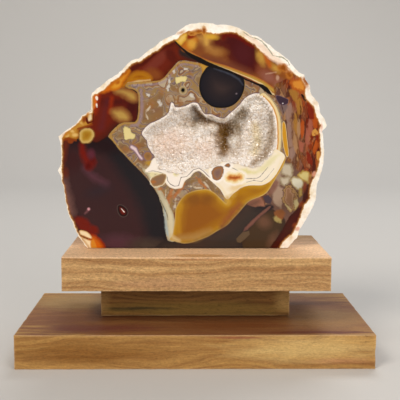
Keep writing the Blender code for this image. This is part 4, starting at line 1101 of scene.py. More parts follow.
def store_marks(mesh, marks):
    """Stores the marks' values on the mesh; returns its points' places on the face's plane."""
    spots = np.empty(3 * len(mesh.vertices))
    mesh.vertices.foreach_get("co", spots)
    places = spots.reshape(-1, 3)[:, [0, 2]]
    for item in marks:
        store(mesh, item.name, mark_values(item, places))
    return places


def build_stone(outline, rind_border, mouth, materials):
    flat, triangles = face_sheet(outline, mouth, guide_lines(FACE_MARKS + RIND_MARKS))
    depth = hollow_depth(flat, mouth) + chipped(flat, rind_border)
    stone = bmesh.new()
    front = [stone.verts.new((x, FACE_Y + y, z)) for (x, z), y in zip(flat, depth)]
    inset = distance_inside(flat, mouth)
    for triangle in triangles:
        face = stone.faces.new([front[i] for i in triangle])
        in_hollow = max(inset[i] for i in triangle) > HOLLOW_START
        face.material_index = HOLLOW_SLOT if in_hollow else face_slot(sum(flat[i][0] for i in triangle) / 3)
    sheet = set(stone.faces)
    add_rind(stone, front[:len(outline)], outline)
    for face in stone.faces:
        if face not in sheet:
            face.material_index = RIND_SLOT
    cut = bmesh.ops.bisect_plane(
        stone,
        geom=stone.verts[:] + stone.edges[:] + stone.faces[:],
        plane_co=(0.0, 0.0, FOOT_Z),
        plane_no=(0.0, 0.0, -1.0),
        clear_outer=True,
    )
    edges = [item for item in cut["geom_cut"] if isinstance(item, bmesh.types.BMEdge)]
    for face in bmesh.ops.edgeloop_fill(stone, edges=edges)["faces"]:
        face.material_index = FOOT_SLOT
    bmesh.ops.triangulate(stone, faces=stone.faces[:])
    bmesh.ops.recalc_face_normals(stone, faces=stone.faces)
    mesh = bpy.data.meshes.new("agate_geode_stone")
    stone.to_mesh(mesh)
    stone.free()
    for material in materials:
        mesh.materials.append(material)
    mesh.shade_smooth()
    mesh.set_sharp_from_angle(angle=SHARP_ANGLE)
    places = store_marks(mesh, FACE_MARKS + RIND_MARKS + DRUSE_MARKS)
    store(mesh, "rind_depth", -distance_inside(places, rind_border) / MM)
    store(mesh, "hollow_inset", distance_inside(places, mouth) / MM)
    store(mesh, "rind_low", [-grain_height(vertex.co) / MM for vertex in mesh.vertices])
    return new_object("agate_geode_stone", mesh)


def new_object(name, mesh):
    item = bpy.data.objects.new(name, mesh)
    bpy.context.scene.collection.objects.link(item)
    return item


# Crystals of the hollow

def spread_points(mesh, slot, count, spacing):
    """Random places on the faces of one material slot, no closer than spacing: (point, normal) pairs."""
    rng = np.random.default_rng(PLACE_SEED)
    faces = [face for face in mesh.polygons if face.material_index == slot]
    areas = np.array([face.area for face in faces])
    picked = rng.choice(len(faces), size=count * DRAWS_PER_CRYSTAL, p=areas / areas.sum())
    shares = rng.random((count * DRAWS_PER_CRYSTAL, 2))
    taken = {}
    places = []
    for index, (a, b) in zip(picked, shares):
        if a + b > 1:
            a, b = 1 - a, 1 - b
        corners = [mesh.vertices[i].co for i in faces[index].vertices]
        point = corners[0] + (corners[1] - corners[0]) * a + (corners[2] - corners[0]) * b
        cell = tuple(math.floor(value / spacing) for value in point)
        near = (
            other
            for i in (-1, 0, 1) for j in (-1, 0, 1) for k in (-1, 0, 1)
            for other in taken.get((cell[0] + i, cell[1] + j, cell[2] + k), ())
        )
        if all((other - point).length > spacing for other in near):
            taken.setdefault(cell, []).append(point)
            places.append((point, faces[index].normal.copy()))
            if len(places) == count:
                break
    return places


def quartz_points(places):
    """Six-sided quartz points standing on the places, as vertex rows and faces."""
    rng = np.random.default_rng(SHAPE_SEED)
    vertices = []
    faces = []
    for point, normal in places:
        lean = Vector(rng.normal(0.0, CRYSTAL_LEAN, 3))
        axis = (normal + lean).normalized()
        if axis.dot(normal) < UPRIGHT_ENOUGH:
            axis = (axis + normal).normalized()
        side = axis.orthogonal().normalized()
        across = axis.cross(side)
        radius = rng.uniform(*CRYSTAL_WIDTH) / 2
        height = 2 * radius * rng.uniform(*CRYSTAL_SLENDERNESS)
        shoulder = height * rng.uniform(*CRYSTAL_SHOULDER)
        turn = rng.uniform(0.0, CORNER_TURN)
        first = len(vertices)
        for level in (-CRYSTAL_ROOT * radius, shoulder):
            for i in range(CRYSTAL_SIDES):
                angle = turn + i * CORNER_TURN
                reach = radius * rng.uniform(*CORNER_REACH)
                spoke = side * math.cos(angle) + across * math.sin(angle)
                vertices.append(point + axis * level + spoke * reach)
        tip = side * rng.normal(0.0, TIP_SHIFT * radius) + across * rng.normal(0.0, TIP_SHIFT * radius)
        vertices.append(point + axis * height + tip)
        above = first + CRYSTAL_SIDES
        faces.append([first + i for i in reversed(range(CRYSTAL_SIDES))])
        for i in range(CRYSTAL_SIDES):
            j = (i + 1) % CRYSTAL_SIDES
            faces.append((first + i, first + j, above + j, above + i))
            faces.append((above + i, above + j, above + CRYSTAL_SIDES))
    return vertices, faces


def build_crystals(stone, material):
    places = spread_points(stone.data, HOLLOW_SLOT, CRYSTALS, CRYSTAL_SPACING)
    vertices, faces = quartz_points(places)
    mesh = bpy.data.meshes.new("quartz_druse")
    mesh.from_pydata(vertices, [], faces)
    mesh.materials.append(material)
    store_marks(mesh, DRUSE_MARKS)
    rng = np.random.default_rng(TONE_SEED)
    store(mesh, "crystal_tone", np.repeat(rng.random(len(places)), len(vertices) // len(places)))
    return new_object("quartz_druse", mesh)


# Boards of the stand, worn round at their edges, with fine ridges along the grain

StainAndLightZone = namedtuple("StainAndLightZone", "name centre half colour cover soft")
BOARD_STEP = 1.8
EDGE_STEPS = (0.0, 0.15, 0.35, 0.7, 1.4)
EDGE_WEAR = 0.38
EDGE_WEAR_LEAST = 0.15
EDGE_WEAR_SWINGS = ((6.0, 1.1), (1.9, 0.5))
# Millimetres from an edge over which the painted edge highlight fades out
EDGE_HIGHLIGHT_REACH = 0.8
RIDGE_SIZES = (34.0, 3.1, 3.1)
DENT_SIZE = 7.0
DENT_LEVEL = 0.42
WEAR_DEPTH = 0.05
RIDGE_HEIGHT = 0.07
DENT_DEPTH = 0.7

# Darker and lighter zones of the boards, stains with some painted light and painted shade among them: centre
# and half sizes in millimetres, from the floor's middle
UPPER_STAINS_AND_LIGHT = (
    # The top's pale pinkish tan is partly painted light
    StainAndLightZone("top_front", (0, -30, 62.5), (150, 62, 0.8), "#edc49a", 1.0, 0.2),
    StainAndLightZone("top_back", (-10, 16, 62.5), (110, 24, 0.8), "#a98262", 0.9, 0.4),
    StainAndLightZone("top_figure", (2, -33, 62.5), (17, 5.5, 0.8), "#c3925e", 0.9, 0.25),
    StainAndLightZone("front_red", (10, -38.5, 61.2), (40, 3, 1.1), "#a9744a", 0.7, 0.6),
    StainAndLightZone("front_rose", (-20, -38.5, 47), (34, 3, 5), "#b08462", 0.5, 0.7),
)
SPACER_STAINS_AND_LIGHT = (
    StainAndLightZone("olive_low", (0, -10, 24.5), (80, 4, 6.5), "#8d7232", 0.7, 0.6),
    StainAndLightZone("dark_flecks", (-34, -10, 24.8), (28, 2, 1.7), "#2c2a18", 0.95, 0.7),
    # Painted light: both ends of the spacer lighter, where the upper board's shadow gives way
    StainAndLightZone("painted_light_ends", (56, -10, 32), (9, 12, 12), "#c09a5c", 0.8, 0.7),
    StainAndLightZone("painted_light_start", (-57, -10, 31), (6, 12, 12), "#b08a50", 0.6, 0.7),
)
BASE_STAINS_AND_LIGHT = (
    # Partly painted shade: the base's whole top brown and darker than its front
    StainAndLightZone("top_shade_brown", (0, -5, 20), (140, 70, 0.8), "#7c4d2e", 1.0, 0.25),
    StainAndLightZone("back_tan", (-78, 26, 20), (34, 26, 0.8), "#a0804f", 0.95, 0.5),
    StainAndLightZone("front_plum", (-58, -36, 20), (46, 11, 0.8), "#6f3a2e", 0.9, 0.6),
    # Painted shade: darker brown on the base's top in front of the spacer, under the upper board
    StainAndLightZone("middle_painted_shade", (20, -30, 20), (44, 14, 0.8), "#75411e", 0.8, 0.7),
    StainAndLightZone("right_tan", (80, -14, 20), (34, 28, 0.8), "#977040", 0.95, 0.5),
    StainAndLightZone("right_streak", (68, -45, 20), (46, 3.4, 0.8), "#66301f", 0.95, 0.5),
    StainAndLightZone("back_streak", (74, 22, 20), (32, 7, 0.8), "#603823", 0.85, 0.6),
    StainAndLightZone("front_gold", (-62, -51, 10), (58, 6, 9), "#7e501a", 0.8, 0.6),
    StainAndLightZone("front_pale", (62, -51, 12), (56, 6, 10), "#cfae70", 0.9, 0.7),
    StainAndLightZone("front_rust", (84, -51, 5.0), (26, 4, 2.4), "#b9845a", 0.7, 0.7),
    StainAndLightZone("front_line", (22, -51, 18.6), (24, 3, 1), "#8e4a34", 0.8, 0.6),
)


def side_steps(low, high):
    """Positions in millimetres along a board's side, closer together by its ends."""
    count = math.ceil((high - low - 2 * EDGE_STEPS[-1]) / BOARD_STEP)
    middle = np.linspace(low + EDGE_STEPS[-1], high - EDGE_STEPS[-1], count + 1)
    near = EDGE_STEPS[:-1]
    return [*(low + step for step in near), *middle, *(high - step for step in reversed(near))]


def worn_point(point, low, high, seed):
    """A point of the board's box moved onto its worn surface, all in millimetres."""
    swing = sum((height * noise.noise(point / size + seed) for size, height in EDGE_WEAR_SWINGS), 1.0)
    radius = max(EDGE_WEAR_LEAST, EDGE_WEAR * swing)
    core = Vector([min(max(c, a + radius), b - radius) for c, a, b in zip(point, low, high)])
    outward = (point - core).normalized()
    ridge = noise.noise(Vector([c / size for c, size in zip(point, RIDGE_SIZES)]) + seed)
    dent = max(0.0, noise.noise(point / DENT_SIZE - seed) - DENT_LEVEL)
    return core + outward * (radius - max(0.0, WEAR_DEPTH + RIDGE_HEIGHT * ridge + DENT_DEPTH * dent))


def build_board(name, node_name, seed, stains, material):
    low, high = (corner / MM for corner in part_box(node_name))
    steps = [side_steps(a, b) for a, b in zip(low, high)]
    numbers = {}
    flat_points = []
    faces = []
    for axis in range(3):
        u = (axis + 1) % 3
        v = (axis + 2) % 3
        for side in (0, len(steps[axis]) - 1):
            for i in range(len(steps[u]) - 1):
                for j in range(len(steps[v]) - 1):
                    corners = []
                    for a, b in ((i, j), (i + 1, j), (i + 1, j + 1), (i, j + 1)):
                        key = [side] * 3
                        key[u] = a
                        key[v] = b
                        key = tuple(key)
                        if key not in numbers:
                            numbers[key] = len(flat_points)
                            flat_points.append(Vector([steps[k][key[k]] for k in range(3)]))
                        corners.append(numbers[key])
                    faces.append(corners if side else corners[::-1])
    drift = Vector((seed, 2.0 * seed, 0.5 * seed))
    mesh = bpy.data.meshes.new(name)
    mesh.from_pydata([worn_point(point, low, high, drift) * MM for point in flat_points], [], faces)
    mesh.materials.append(material)
    mesh.shade_smooth()
    places = np.array(flat_points)
    sides = np.sort(np.minimum(places - np.array(low), np.array(high) - places), axis=1)
    store(mesh, "edge_highlight", np.clip(1.0 - sides[:, 1] / EDGE_HIGHLIGHT_REACH, 0.0, 1.0))
    for stain in stains:
        away = (places - stain.centre) / stain.half
        store(mesh, stain.name, 1.0 - np.linalg.norm(away, axis=1))
    return new_object(name, mesh)


# Shader helpers

def linear(code):
    """A colour written as on screen, in the linear values that shaders take."""
    parts = [int(code[i:i + 2], 16) / 255 for i in (1, 3, 5)]
    return (*[c / 12.92 if c <= 0.04045 else ((c + 0.055) / 1.055) ** 2.4 for c in parts], 1.0)


def feed(tree, socket, value):
    if isinstance(value, bpy.types.NodeSocket):
        tree.links.new(value, socket)
    elif isinstance(value, str):
        socket.default_value = linear(value)
    else:
        socket.default_value = value


def node(tree, kind, inputs=(), **settings):
    made = tree.nodes.new(kind)
    for name, value in settings.items():
        setattr(made, name, value)
    for key, value in dict(inputs).items():
        feed(tree, made.inputs[key], value)
    return made


def sums(tree, operation, *values):
    made = node(tree, "ShaderNodeMath", operation=operation)
    for socket, value in zip(made.inputs, values):
        feed(tree, socket, value)
    return made.outputs[0]


def blend(tree, share, below, above, mode="MIX"):
    made = node(tree, "ShaderNodeMix", data_type="RGBA", blend_type=mode)
    feed(tree, made.inputs[0], share)
    feed(tree, made.inputs[6], below)
    feed(tree, made.inputs[7], above)
    return made.outputs[2]


def stretch(tree, value, low, high, to_low=0.0, to_high=1.0, smooth=False):
    inputs = {"Value": value, "From Min": low, "From Max": high, "To Min": to_low, "To Max": to_high}
    way = "SMOOTHSTEP" if smooth else "LINEAR"
    return node(tree, "ShaderNodeMapRange", inputs, interpolation_type=way).outputs["Result"]


def ramp(tree, value, stops):
    """Colour ramp; stops are (position, colour, cover), with a cover of 1 where none is given."""
    made = node(tree, "ShaderNodeValToRGB")
    elements = made.color_ramp.elements
    while len(elements) < len(stops):
        elements.new(0.5)
    for element, (position, colour, *cover) in zip(elements, stops):
        element.position = position
        element.color = (*linear(colour)[:3], *(cover or [1.0]))
    feed(tree, made.inputs[0], value)
    return made.outputs


def vectors(tree, operation, *values):
    made = node(tree, "ShaderNodeVectorMath", operation=operation)
    for socket, value in zip(made.inputs, values):
        feed(tree, socket, value)
    return made.outputs[0]


def places_mm(tree):
    """Places on the piece in millimetres."""
    places = node(tree, "ShaderNodeTexCoord").outputs["Object"]
    return vectors(tree, "MULTIPLY", places, (1 / MM, 1 / MM, 1 / MM))


def shifted(tree, places, size, distance):
    """The places moved by noise with lumps of that size, by up to about half the distance."""
    drift = vectors(tree, "SUBTRACT", noise_at(tree, places, size, output="Color"), (0.5, 0.5, 0.5))
    return vectors(tree, "MULTIPLY_ADD", drift, (distance, distance, distance), places)


SOCKET_KINDS = {"colour": "NodeSocketColor", "value": "NodeSocketFloat", "place": "NodeSocketVector"}


def group_of(name, takes, gives):
    """A new shader group: its tree, its inputs by name, and a function that feeds its outputs."""
    tree = bpy.data.node_groups.new(name, "ShaderNodeTree")
    for way, sockets in (("INPUT", takes), ("OUTPUT", gives)):
        for label, kind in sockets:
            tree.interface.new_socket(label, in_out=way, socket_type=SOCKET_KINDS[kind])
    source = tree.nodes.new("NodeGroupInput")

    def give(**results):
        end = tree.nodes.new("NodeGroupOutput")
        for label, result in results.items():
            feed(tree, end.inputs[label], result)
        return tree

    return tree, source.outputs, give


def use(tree, group, inputs):
    """Places a group in a tree, with its inputs' values or links."""
    return node(tree, "ShaderNodeGroup", inputs, node_tree=group).outputs


def noise_at(tree, places, size, detail=2.0, roughness=0.5, output="Fac"):
    """Noise whose lumps are about size millimetres."""
    inputs = {"Vector": places, "Scale": 1.0 / size, "Detail": detail, "Roughness": roughness}
    return node(tree, "ShaderNodeTexNoise", inputs).outputs[output]


def finish(name, roughness, **sockets):
    """A material whose shader has this roughness and these other inputs: the material, tree and shader."""
    material = bpy.data.materials.new(name)
    material.use_nodes = True
    shader = material.node_tree.nodes["Principled BSDF"]
    shader.inputs["Roughness"].default_value = roughness
    for key, value in sockets.items():
        feed(material.node_tree, shader.inputs[key.replace("_", " ")], value)
    return material, material.node_tree, shader


def plain(name, colour, roughness):
    material, _, shader = finish(name, roughness)
    shader.inputs["Base Color"].default_value = linear(colour)
    return material


def raise_surface(tree, shader, height, strength, distance):
    """Bumps by a height, up to distance millimetres."""
    bump = node(tree, "ShaderNodeBump", {"Height": height, "Strength": strength, "Distance": distance * MM})
    feed(tree, shader.inputs["Normal"], bump.outputs["Normal"])


def attribute(tree, name):
    return node(tree, "ShaderNodeAttribute", attribute_name=name).outputs["Fac"]


def ripples(tree, places, size, detail=1.0):
    """Noise round zero, mostly within -0.6 to 0.6."""
    return sums(tree, "MULTIPLY_ADD", noise_at(tree, places, size, detail), 2.0, -1.0)


# Finishes of the stone

MOSS_BANDS = (
    (0.28, "#886240"), (0.37, "#866b4c"), (0.405, "#a38d6e"), (0.43, "#604a50"), (0.45, "#857274"),
    (0.49, "#94764a"), (0.545, "#97794f"), (0.57, "#8a7c7c"), (0.585, "#574349"), (0.605, "#b49f80"),
    (0.63, "#926840"), (0.665, "#865a3e"), (0.685, "#6a5254"), (0.705, "#b4a288"),
)
# Tones of the slivers of broken agate, inside the face and by the rind
SLIVERS_INSIDE = (
    (0.0, "#523324"), (0.15, "#7d5844"), (0.3, "#946e54"), (0.45, "#744628"), (0.6, "#8a5926"),
    (0.72, "#623c30"), (0.85, "#a0764c"), (1.0, "#82421a"),
)
SLIVERS_BY_RIND = (
    (0.0, "#4c1206"), (0.18, "#74240d"), (0.36, "#984a20"), (0.5, "#82371a"), (0.64, "#561809"),
    (0.8, "#9c5c36"), (1.0, "#a45c1a"),
)
# Millimetres past the rind's border, below 0 on the agate's side, between which the slivers turn from the
# inner tones to the outer ones
SLIVERS_TURN = (-13.0, -6.0)
# From the agate out to the rind: a brown line, then cream. The span is in millimetres past the rind's border,
# which coarse and fine noise move.
BORDER_SPAN = (-1.2, 2.8)
BORDER_WOBBLE = (0.5, 0.35)
BORDER_BANDS = (
    (0.0, "#a8641c", 0.0), (0.14, "#a05c1c", 0.35), (0.28, "#c28c48", 0.7), (0.40, "#f0dcba"),
    (0.55, "#f8efe0"),
)
AGATE_GROUND = "#6b3a22"
# Roughness of the sawn face and of the rind beside it
POLISHED, CHALKY = 0.10, 0.85
# Lump sizes of the noises that move the marks' outlines, in millimetres
COARSE_LUMPS = 3.2
FINE_LUMPS = 1.1


def moss_group():
    """Moss agate: islands of tan, cream and orange with lilac-grey joints between them, on a warped noise."""
    tree, given, give = group_of("Moss agate", [("Place", "place")], [("Colour", "colour")])
    moved = shifted(tree, given["Place"], 6.5, 5.0)
    level = noise_at(tree, moved, 7.0, 0.6, 0.4)
    bands = ramp(tree, level, MOSS_BANDS)["Color"]
    calm = noise_at(tree, shifted(tree, given["Place"], 9.0, 4.0), 8.0, 2.0, 0.6)
    blots = ((0.34, "#6e5850"), (0.45, "#85704e"), (0.56, "#8c6838"), (0.68, "#94806c"))
    blots = ramp(tree, calm, blots)["Color"]
    wide = noise_at(tree, given["Place"], 16.0, 1.0)
    mixed = blend(tree, stretch(tree, wide, 0.42, 0.60, 0.1, 0.5), bands, blots)
    small = noise_at(tree, moved, 2.6, 1.0)
    mixed = blend(tree, stretch(tree, small, 0.62, 0.68, 0.0, 0.3), mixed, "#54403e")
    return give(Colour=blend(tree, stretch(tree, small, 0.36, 0.30, 0.0, 0.45), mixed, "#b0a08c"))


def breccia_group():
    """Upright slivers of broken agate, each with its own colour and a dark joint round it."""
    takes = [("Place", "place"), ("Rind", "value")]
    tree, given, give = group_of("Broken agate", takes, [("Colour", "colour")])
    upright = node(tree, "ShaderNodeMapping", {"Vector": shifted(tree, given["Place"], 6.0, 4.0)})
    upright.inputs["Rotation"].default_value = (0.0, math.radians(8.0), 0.0)
    upright.inputs["Scale"].default_value = (1.0, 0.3, 0.3)
    sliver = {"Vector": upright.outputs[0], "Scale": 0.52}
    cells = node(tree, "ShaderNodeTexVoronoi", sliver)
    tone = node(tree, "ShaderNodeSeparateColor", {"Color": cells.outputs["Color"]}).outputs[0]
    inner = ramp(tree, tone, SLIVERS_INSIDE)["Color"]
    outer = ramp(tree, tone, SLIVERS_BY_RIND)["Color"]
    shards = blend(tree, given["Rind"], inner, outer)
    streak = noise_at(tree, upright.outputs[0], 0.9, 2.0)
    shards = blend(tree, stretch(tree, streak, 0.55, 0.75, 0.0, 0.4), shards, "#b8906c")
    joints = node(tree, "ShaderNodeTexVoronoi", sliver, feature="DISTANCE_TO_EDGE").outputs["Distance"]
    return give(Colour=blend(tree, stretch(tree, joints, 0.02, 0.09, 0.5, 0.0), shards, "#3f2018"))


def lay_mark(tree, item, colour, coarse, fine, fills):
    """The mark's bands over the colour below, one after the other."""
    low = item.bands[0][0]
    span = item.bands[-1][0] - low
    level = attribute(tree, item.name)
    for swing, amount in zip((coarse, fine), item.wobble):
        if amount:
            level = sums(tree, "MULTIPLY_ADD", swing, amount / span, level)
    for (outer, _, _), (inner, shade, cover) in zip(item.bands, item.bands[1:]):
        share = level
        if len(item.bands) > 2 or cover < 1.0:
            share = stretch(tree, level, (outer - low) / span, (inner - low) / span, 0.0, cover)
        colour = blend(tree, share, colour, fills.get(item.fill, shade))
    return colour


def polished_face(chalk, moss, breccia, left, right):
    """A column of the sawn and polished face, with the rough white rind round it."""
    material, tree, shader = finish(f"polished_agate_{left}", POLISHED, Specular_IOR_Level=0.16)
    places = places_mm(tree)
    chalk = use(tree, chalk, {"Place": places, "Stains": 0.25})
    coarse = ripples(tree, places, COARSE_LUMPS)
    fine = ripples(tree, places, FINE_LUMPS)
    rind_depth = attribute(tree, "rind_depth")
    by_rind = stretch(tree, rind_depth, *SLIVERS_TURN, smooth=True)
    fills = {
        "moss": use(tree, moss, {"Place": places})["Colour"],
        "breccia": use(tree, breccia, {"Place": places, "Rind": by_rind})["Colour"],
    }
    colour = AGATE_GROUND
    for item in FACE_MARKS:
        if reaches(item, left, right):
            colour = lay_mark(tree, item, colour, coarse, fine, fills)
    depth = rind_depth
    for swing, amount in zip((coarse, fine), BORDER_WOBBLE):
        depth = sums(tree, "MULTIPLY_ADD", swing, amount, depth)
    share = stretch(tree, depth, *BORDER_SPAN)
    border = ramp(tree, share, BORDER_BANDS)
    colour = blend(tree, border["Alpha"], colour, border["Color"])
    colour = blend(tree, stretch(tree, share, 0.32, 0.5), colour, chalk["Colour"])
    for item in RIND_MARKS:
        if reaches(item, left, right):
            colour = lay_mark(tree, item, colour, coarse, fine, fills)
    feed(tree, shader.inputs["Base Color"], colour)
    rough = stretch(tree, depth, -0.2, 0.3)
    feed(tree, shader.inputs["Roughness"], stretch(tree, rough, 0.0, 1.0, POLISHED, CHALKY))
    height = sums(tree, "MULTIPLY", chalk["Height"], rough)
    raise_surface(tree, shader, height, 0.6, 0.4)
    return material


def chalk_group():
    """Chalky rind: white and cream patches, rust stains and dusty grains."""
    takes = [("Place", "place"), ("Stains", "value")]
    tree, given, give = group_of("Chalky rind", takes, [("Colour", "colour"), ("Height", "value")])
    wide = noise_at(tree, given["Place"], 11.0, 3.0, 0.6)
    creams = ((0.3, "#e4cfac"), (0.42, "#f3e8d6"), (0.58, "#fdf8f0"), (0.72, "#ead6b4"))
    colour = ramp(tree, wide, creams)["Color"]
    rust = noise_at(tree, shifted(tree, given["Place"], 9.0, 9.0), 22.0, 4.0, 0.6)
    rusts = ramp(tree, rust, ((0.54, "#d8b078"), (0.62, "#b8803f"), (0.7, "#8e5527")))["Color"]
    share = sums(tree, "MULTIPLY", stretch(tree, rust, 0.52, 0.68, 0.0, 0.85), given["Stains"])
    colour = blend(tree, share, colour, rusts)
    grains = noise_at(tree, given["Place"], 0.8, 3.0, 0.6)
    dust = stretch(tree, grains, 0.38, 0.28, 0.0, 0.35)
    return give(Colour=blend(tree, dust, colour, "#b79b76"), Height=grains)


def rough_rind(chalk):
    """The nodule's outside, never cut: chalk with brown dust in its pits."""
    material, tree, shader = finish("rough_rind", 0.9, Specular_IOR_Level=0.2)
    places = places_mm(tree)
    chalk = use(tree, chalk, {"Place": places, "Stains": 1.0})
    low = stretch(tree, attribute(tree, "rind_low"), 0.15, 0.8, 0.0, 0.6)
    colour = blend(tree, 0.35, chalk["Colour"], "#dccbaa")
    feed(tree, shader.inputs["Base Color"], blend(tree, low, colour, "#ab8c60"))
    raise_surface(tree, shader, chalk["Height"], 0.8, 0.5)
    return material


def sawn_foot():
    """The flat that the stone stands on, sawn and left dull."""
    material, tree, shader = finish("sawn_foot", 0.55, Specular_IOR_Level=0.2)
    places = places_mm(tree)
    level = noise_at(tree, shifted(tree, places, 12.0, 8.0), 16.0, 3.0)
    bands = ((0.3, "#2c1d1e"), (0.42, "#4c2a26"), (0.5, "#6a4032"), (0.56, "#3d2c2b"), (0.66, "#8a6242"))
    feed(tree, shader.inputs["Base Color"], ramp(tree, level, bands)["Color"])
    lines = noise_at(tree, vectors(tree, "MULTIPLY", places, (0.05, 1.6, 1.0)), 1.0, 2.0)
    raise_surface(tree, shader, lines, 0.4, 0.2)
    return material


def druse_tints_and_painted_light(tree, places, colour):
    """The hollow's tinted zones, with their painted shade and painted light, over a colour."""
    coarse = ripples(tree, places, COARSE_LUMPS)
    fine = ripples(tree, places, FINE_LUMPS)
    for item in DRUSE_MARKS:
        colour = lay_mark(tree, item, colour, coarse, fine, {})
    return colour


def hollow_wall():
    """The wall under the crystals, with the white agate layer at its mouth."""
    material, tree, shader = finish("hollow_wall", 0.35, Specular_IOR_Level=0.4)
    places = places_mm(tree)
    inset = sums(tree, "MULTIPLY_ADD", ripples(tree, places, 1.4), 0.5, attribute(tree, "hollow_inset"))
    colour = druse_tints_and_painted_light(tree, places, "#f4e8da")
    layers = ((0.0, "#f6f0ea"), (0.4, "#efe4dc"), (0.6, "#e2d2c4"))
    lip = ramp(tree, stretch(tree, inset, 0.0, 3.0), layers)["Color"]
    colour = blend(tree, stretch(tree, inset, 2.0, 1.1), colour, lip)
    feed(tree, shader.inputs["Base Color"], colour)
    facets = node(tree, "ShaderNodeTexVoronoi", {"Vector": places, "Scale": 1.3}).outputs["Distance"]
    raise_surface(tree, shader, facets, 0.8, 0.5)
    return material


def quartz():
    """Small clear to milky crystals, each with its own tone."""
    material, tree, shader = finish("quartz", 0.07, Transmission_Weight=0.15, IOR=1.544)
    places = places_mm(tree)
    tone = attribute(tree, "crystal_tone")
    colour = druse_tints_and_painted_light(tree, places, "#fff9f4")
    shade = ramp(tree, tone, ((0.0, "#e4d8c8"), (0.3, "#f7f1ea"), (0.7, "#ffffff")))["Color"]
    feed(tree, shader.inputs["Base Color"], blend(tree, 1.0, colour, shade, "MULTIPLY"))
    return material


# How fast the wood's noises change along, across and up through a board, per millimetre
SWAY = (0.014, 0.05, 0.05)
FIBRES = (0.12, 2.0, 2.0)
PORES = (0.38, 2.8, 2.8)
CURLS = (0.7, 1.0, 1.3)
TONE_SWINGS = (0.05, 0.3, 0.3)
# Where the rings' axis lies from the grain's start, and how far the sway bends them, in millimetres
RING_AXIS = (0.0, 30.0, -55.0)
RING_BEND = (0.0, 16.0, 16.0)
RINGS_OUTWARD = 0.42
RINGS_ALONG = 0.008


def wood_group():
    """Rings round an axis that lies below the board, with fibres, curls and pores along it."""
    takes = [("Place", "place"), ("Curl", "value"), ("Pores", "value")]
    gives = [("Tone", "value"), ("Detail", "value"), ("Height", "value")]
    tree, given, give = group_of("Wood grain", takes, gives)
    sway = vectors(tree, "MULTIPLY", given["Place"], SWAY)
    drift = vectors(tree, "SUBTRACT", noise_at(tree, sway, 1.0, output="Color"), (0.5, 0.5, 0.5))
    bent = vectors(tree, "MULTIPLY_ADD", drift, RING_BEND, given["Place"])
    axis = {0: vectors(tree, "MULTIPLY", bent, (0.0, 1.0, 1.0)), 1: RING_AXIS}
    radius = node(tree, "ShaderNodeVectorMath", axis, operation="DISTANCE").outputs["Value"]
    along = node(tree, "ShaderNodeSeparateXYZ", {0: bent}).outputs[0]
    outward = sums(tree, "MULTIPLY", radius, RINGS_OUTWARD)
    along = sums(tree, "MULTIPLY", along, RINGS_ALONG)
    spot = node(tree, "ShaderNodeCombineXYZ", {0: outward, 1: along}).outputs[0]
    tone = stretch(tree, noise_at(tree, spot, 1.0, 3.0, 0.6), 0.32, 0.68)
    fibres = noise_at(tree, vectors(tree, "MULTIPLY", bent, FIBRES), 1.0, 3.0, 0.6)
    holes = noise_at(tree, vectors(tree, "MULTIPLY", bent, PORES), 1.0, 1.0)
    holes = stretch(tree, holes, 0.62, 0.72)
    curls = noise_at(tree, vectors(tree, "MULTIPLY", given["Place"], CURLS), 1.0, 3.0, 0.7)
    detail = sums(tree, "MULTIPLY_ADD", sums(tree, "SUBTRACT", fibres, 0.5), 0.7, 1.0)
    detail = sums(tree, "MULTIPLY_ADD", sums(tree, "SUBTRACT", curls, 0.5), given["Curl"], detail)
    dark = sums(tree, "MULTIPLY", holes, given["Pores"])
    detail = sums(tree, "SUBTRACT", detail, dark)
    return give(Tone=tone, Detail=detail, Height=sums(tree, "SUBTRACT", fibres, dark))


def wood(name, grain, dark, light, start, curl, pores, stains):
    """A board's own wood: its two tones, where its grain starts, and its zones of stain and of painted light
    and shade.
    """
    material, tree, shader = finish(name, 0.55, Specular_IOR_Level=0.25)
    places = places_mm(tree)
    grain = use(tree, grain, {"Place": vectors(tree, "ADD", places, start), "Curl": curl, "Pores": pores})
    swing = ripples(tree, vectors(tree, "MULTIPLY", places, TONE_SWINGS), 1.0, 3.0)
    colour = blend(tree, grain["Tone"], dark, light)
    for stain in stains:
        level = sums(tree, "MULTIPLY_ADD", swing, 0.45, attribute(tree, stain.name))
        share = stretch(tree, level, 0.0, stain.soft, 0.0, stain.cover)
        share = sums(tree, "MULTIPLY", share, stretch(tree, grain["Tone"], 1.0, 0.0, 0.75, 1.0))
        colour = blend(tree, share, colour, stain.colour)
    # Painted highlight: the boards' rounded edges lightened toward pale tan, as lit edges look
    worn = sums(tree, "MULTIPLY", attribute(tree, "edge_highlight"), stretch(tree, swing, -0.5, 0.3, 0.25, 0.6))
    colour = blend(tree, worn, colour, "#d8b486")
    colour = blend(tree, 1.0, colour, grain["Detail"], "MULTIPLY")
    feed(tree, shader.inputs["Base Color"], colour)
    raise_surface(tree, shader, grain["Height"], 0.5, 0.25)
    return material


# Stage

FLOOR_FRONT = -3.0
FLOOR_BACK = 0.9
FLOOR_BEND = 0.5
BEND_ANGLES = np.linspace(0.15, math.pi / 2, 12)
WALL_TOP = 3.0
HALF_FLOOR = 4.0
ROOM_LIGHT = 0.34
# Name, place, the point that it faces, size, power and colour
LAMPS = (
    ("key", (-0.8, -1.1, 1.3), (0.0, 0.0, 0.1), (0.6, 0.6), 17.0, "#fff6ea"),
    ("fill", (0.9, -1.2, 0.55), (0.0, 0.0, 0.12), (1.1, 0.5), 10.0, "#fff8f0"),
    ("back", (0.3, 0.8, 1.2), (0.0, 0.0, 0.15), (0.8, 0.5), 8.0, "#ffffff"),
)


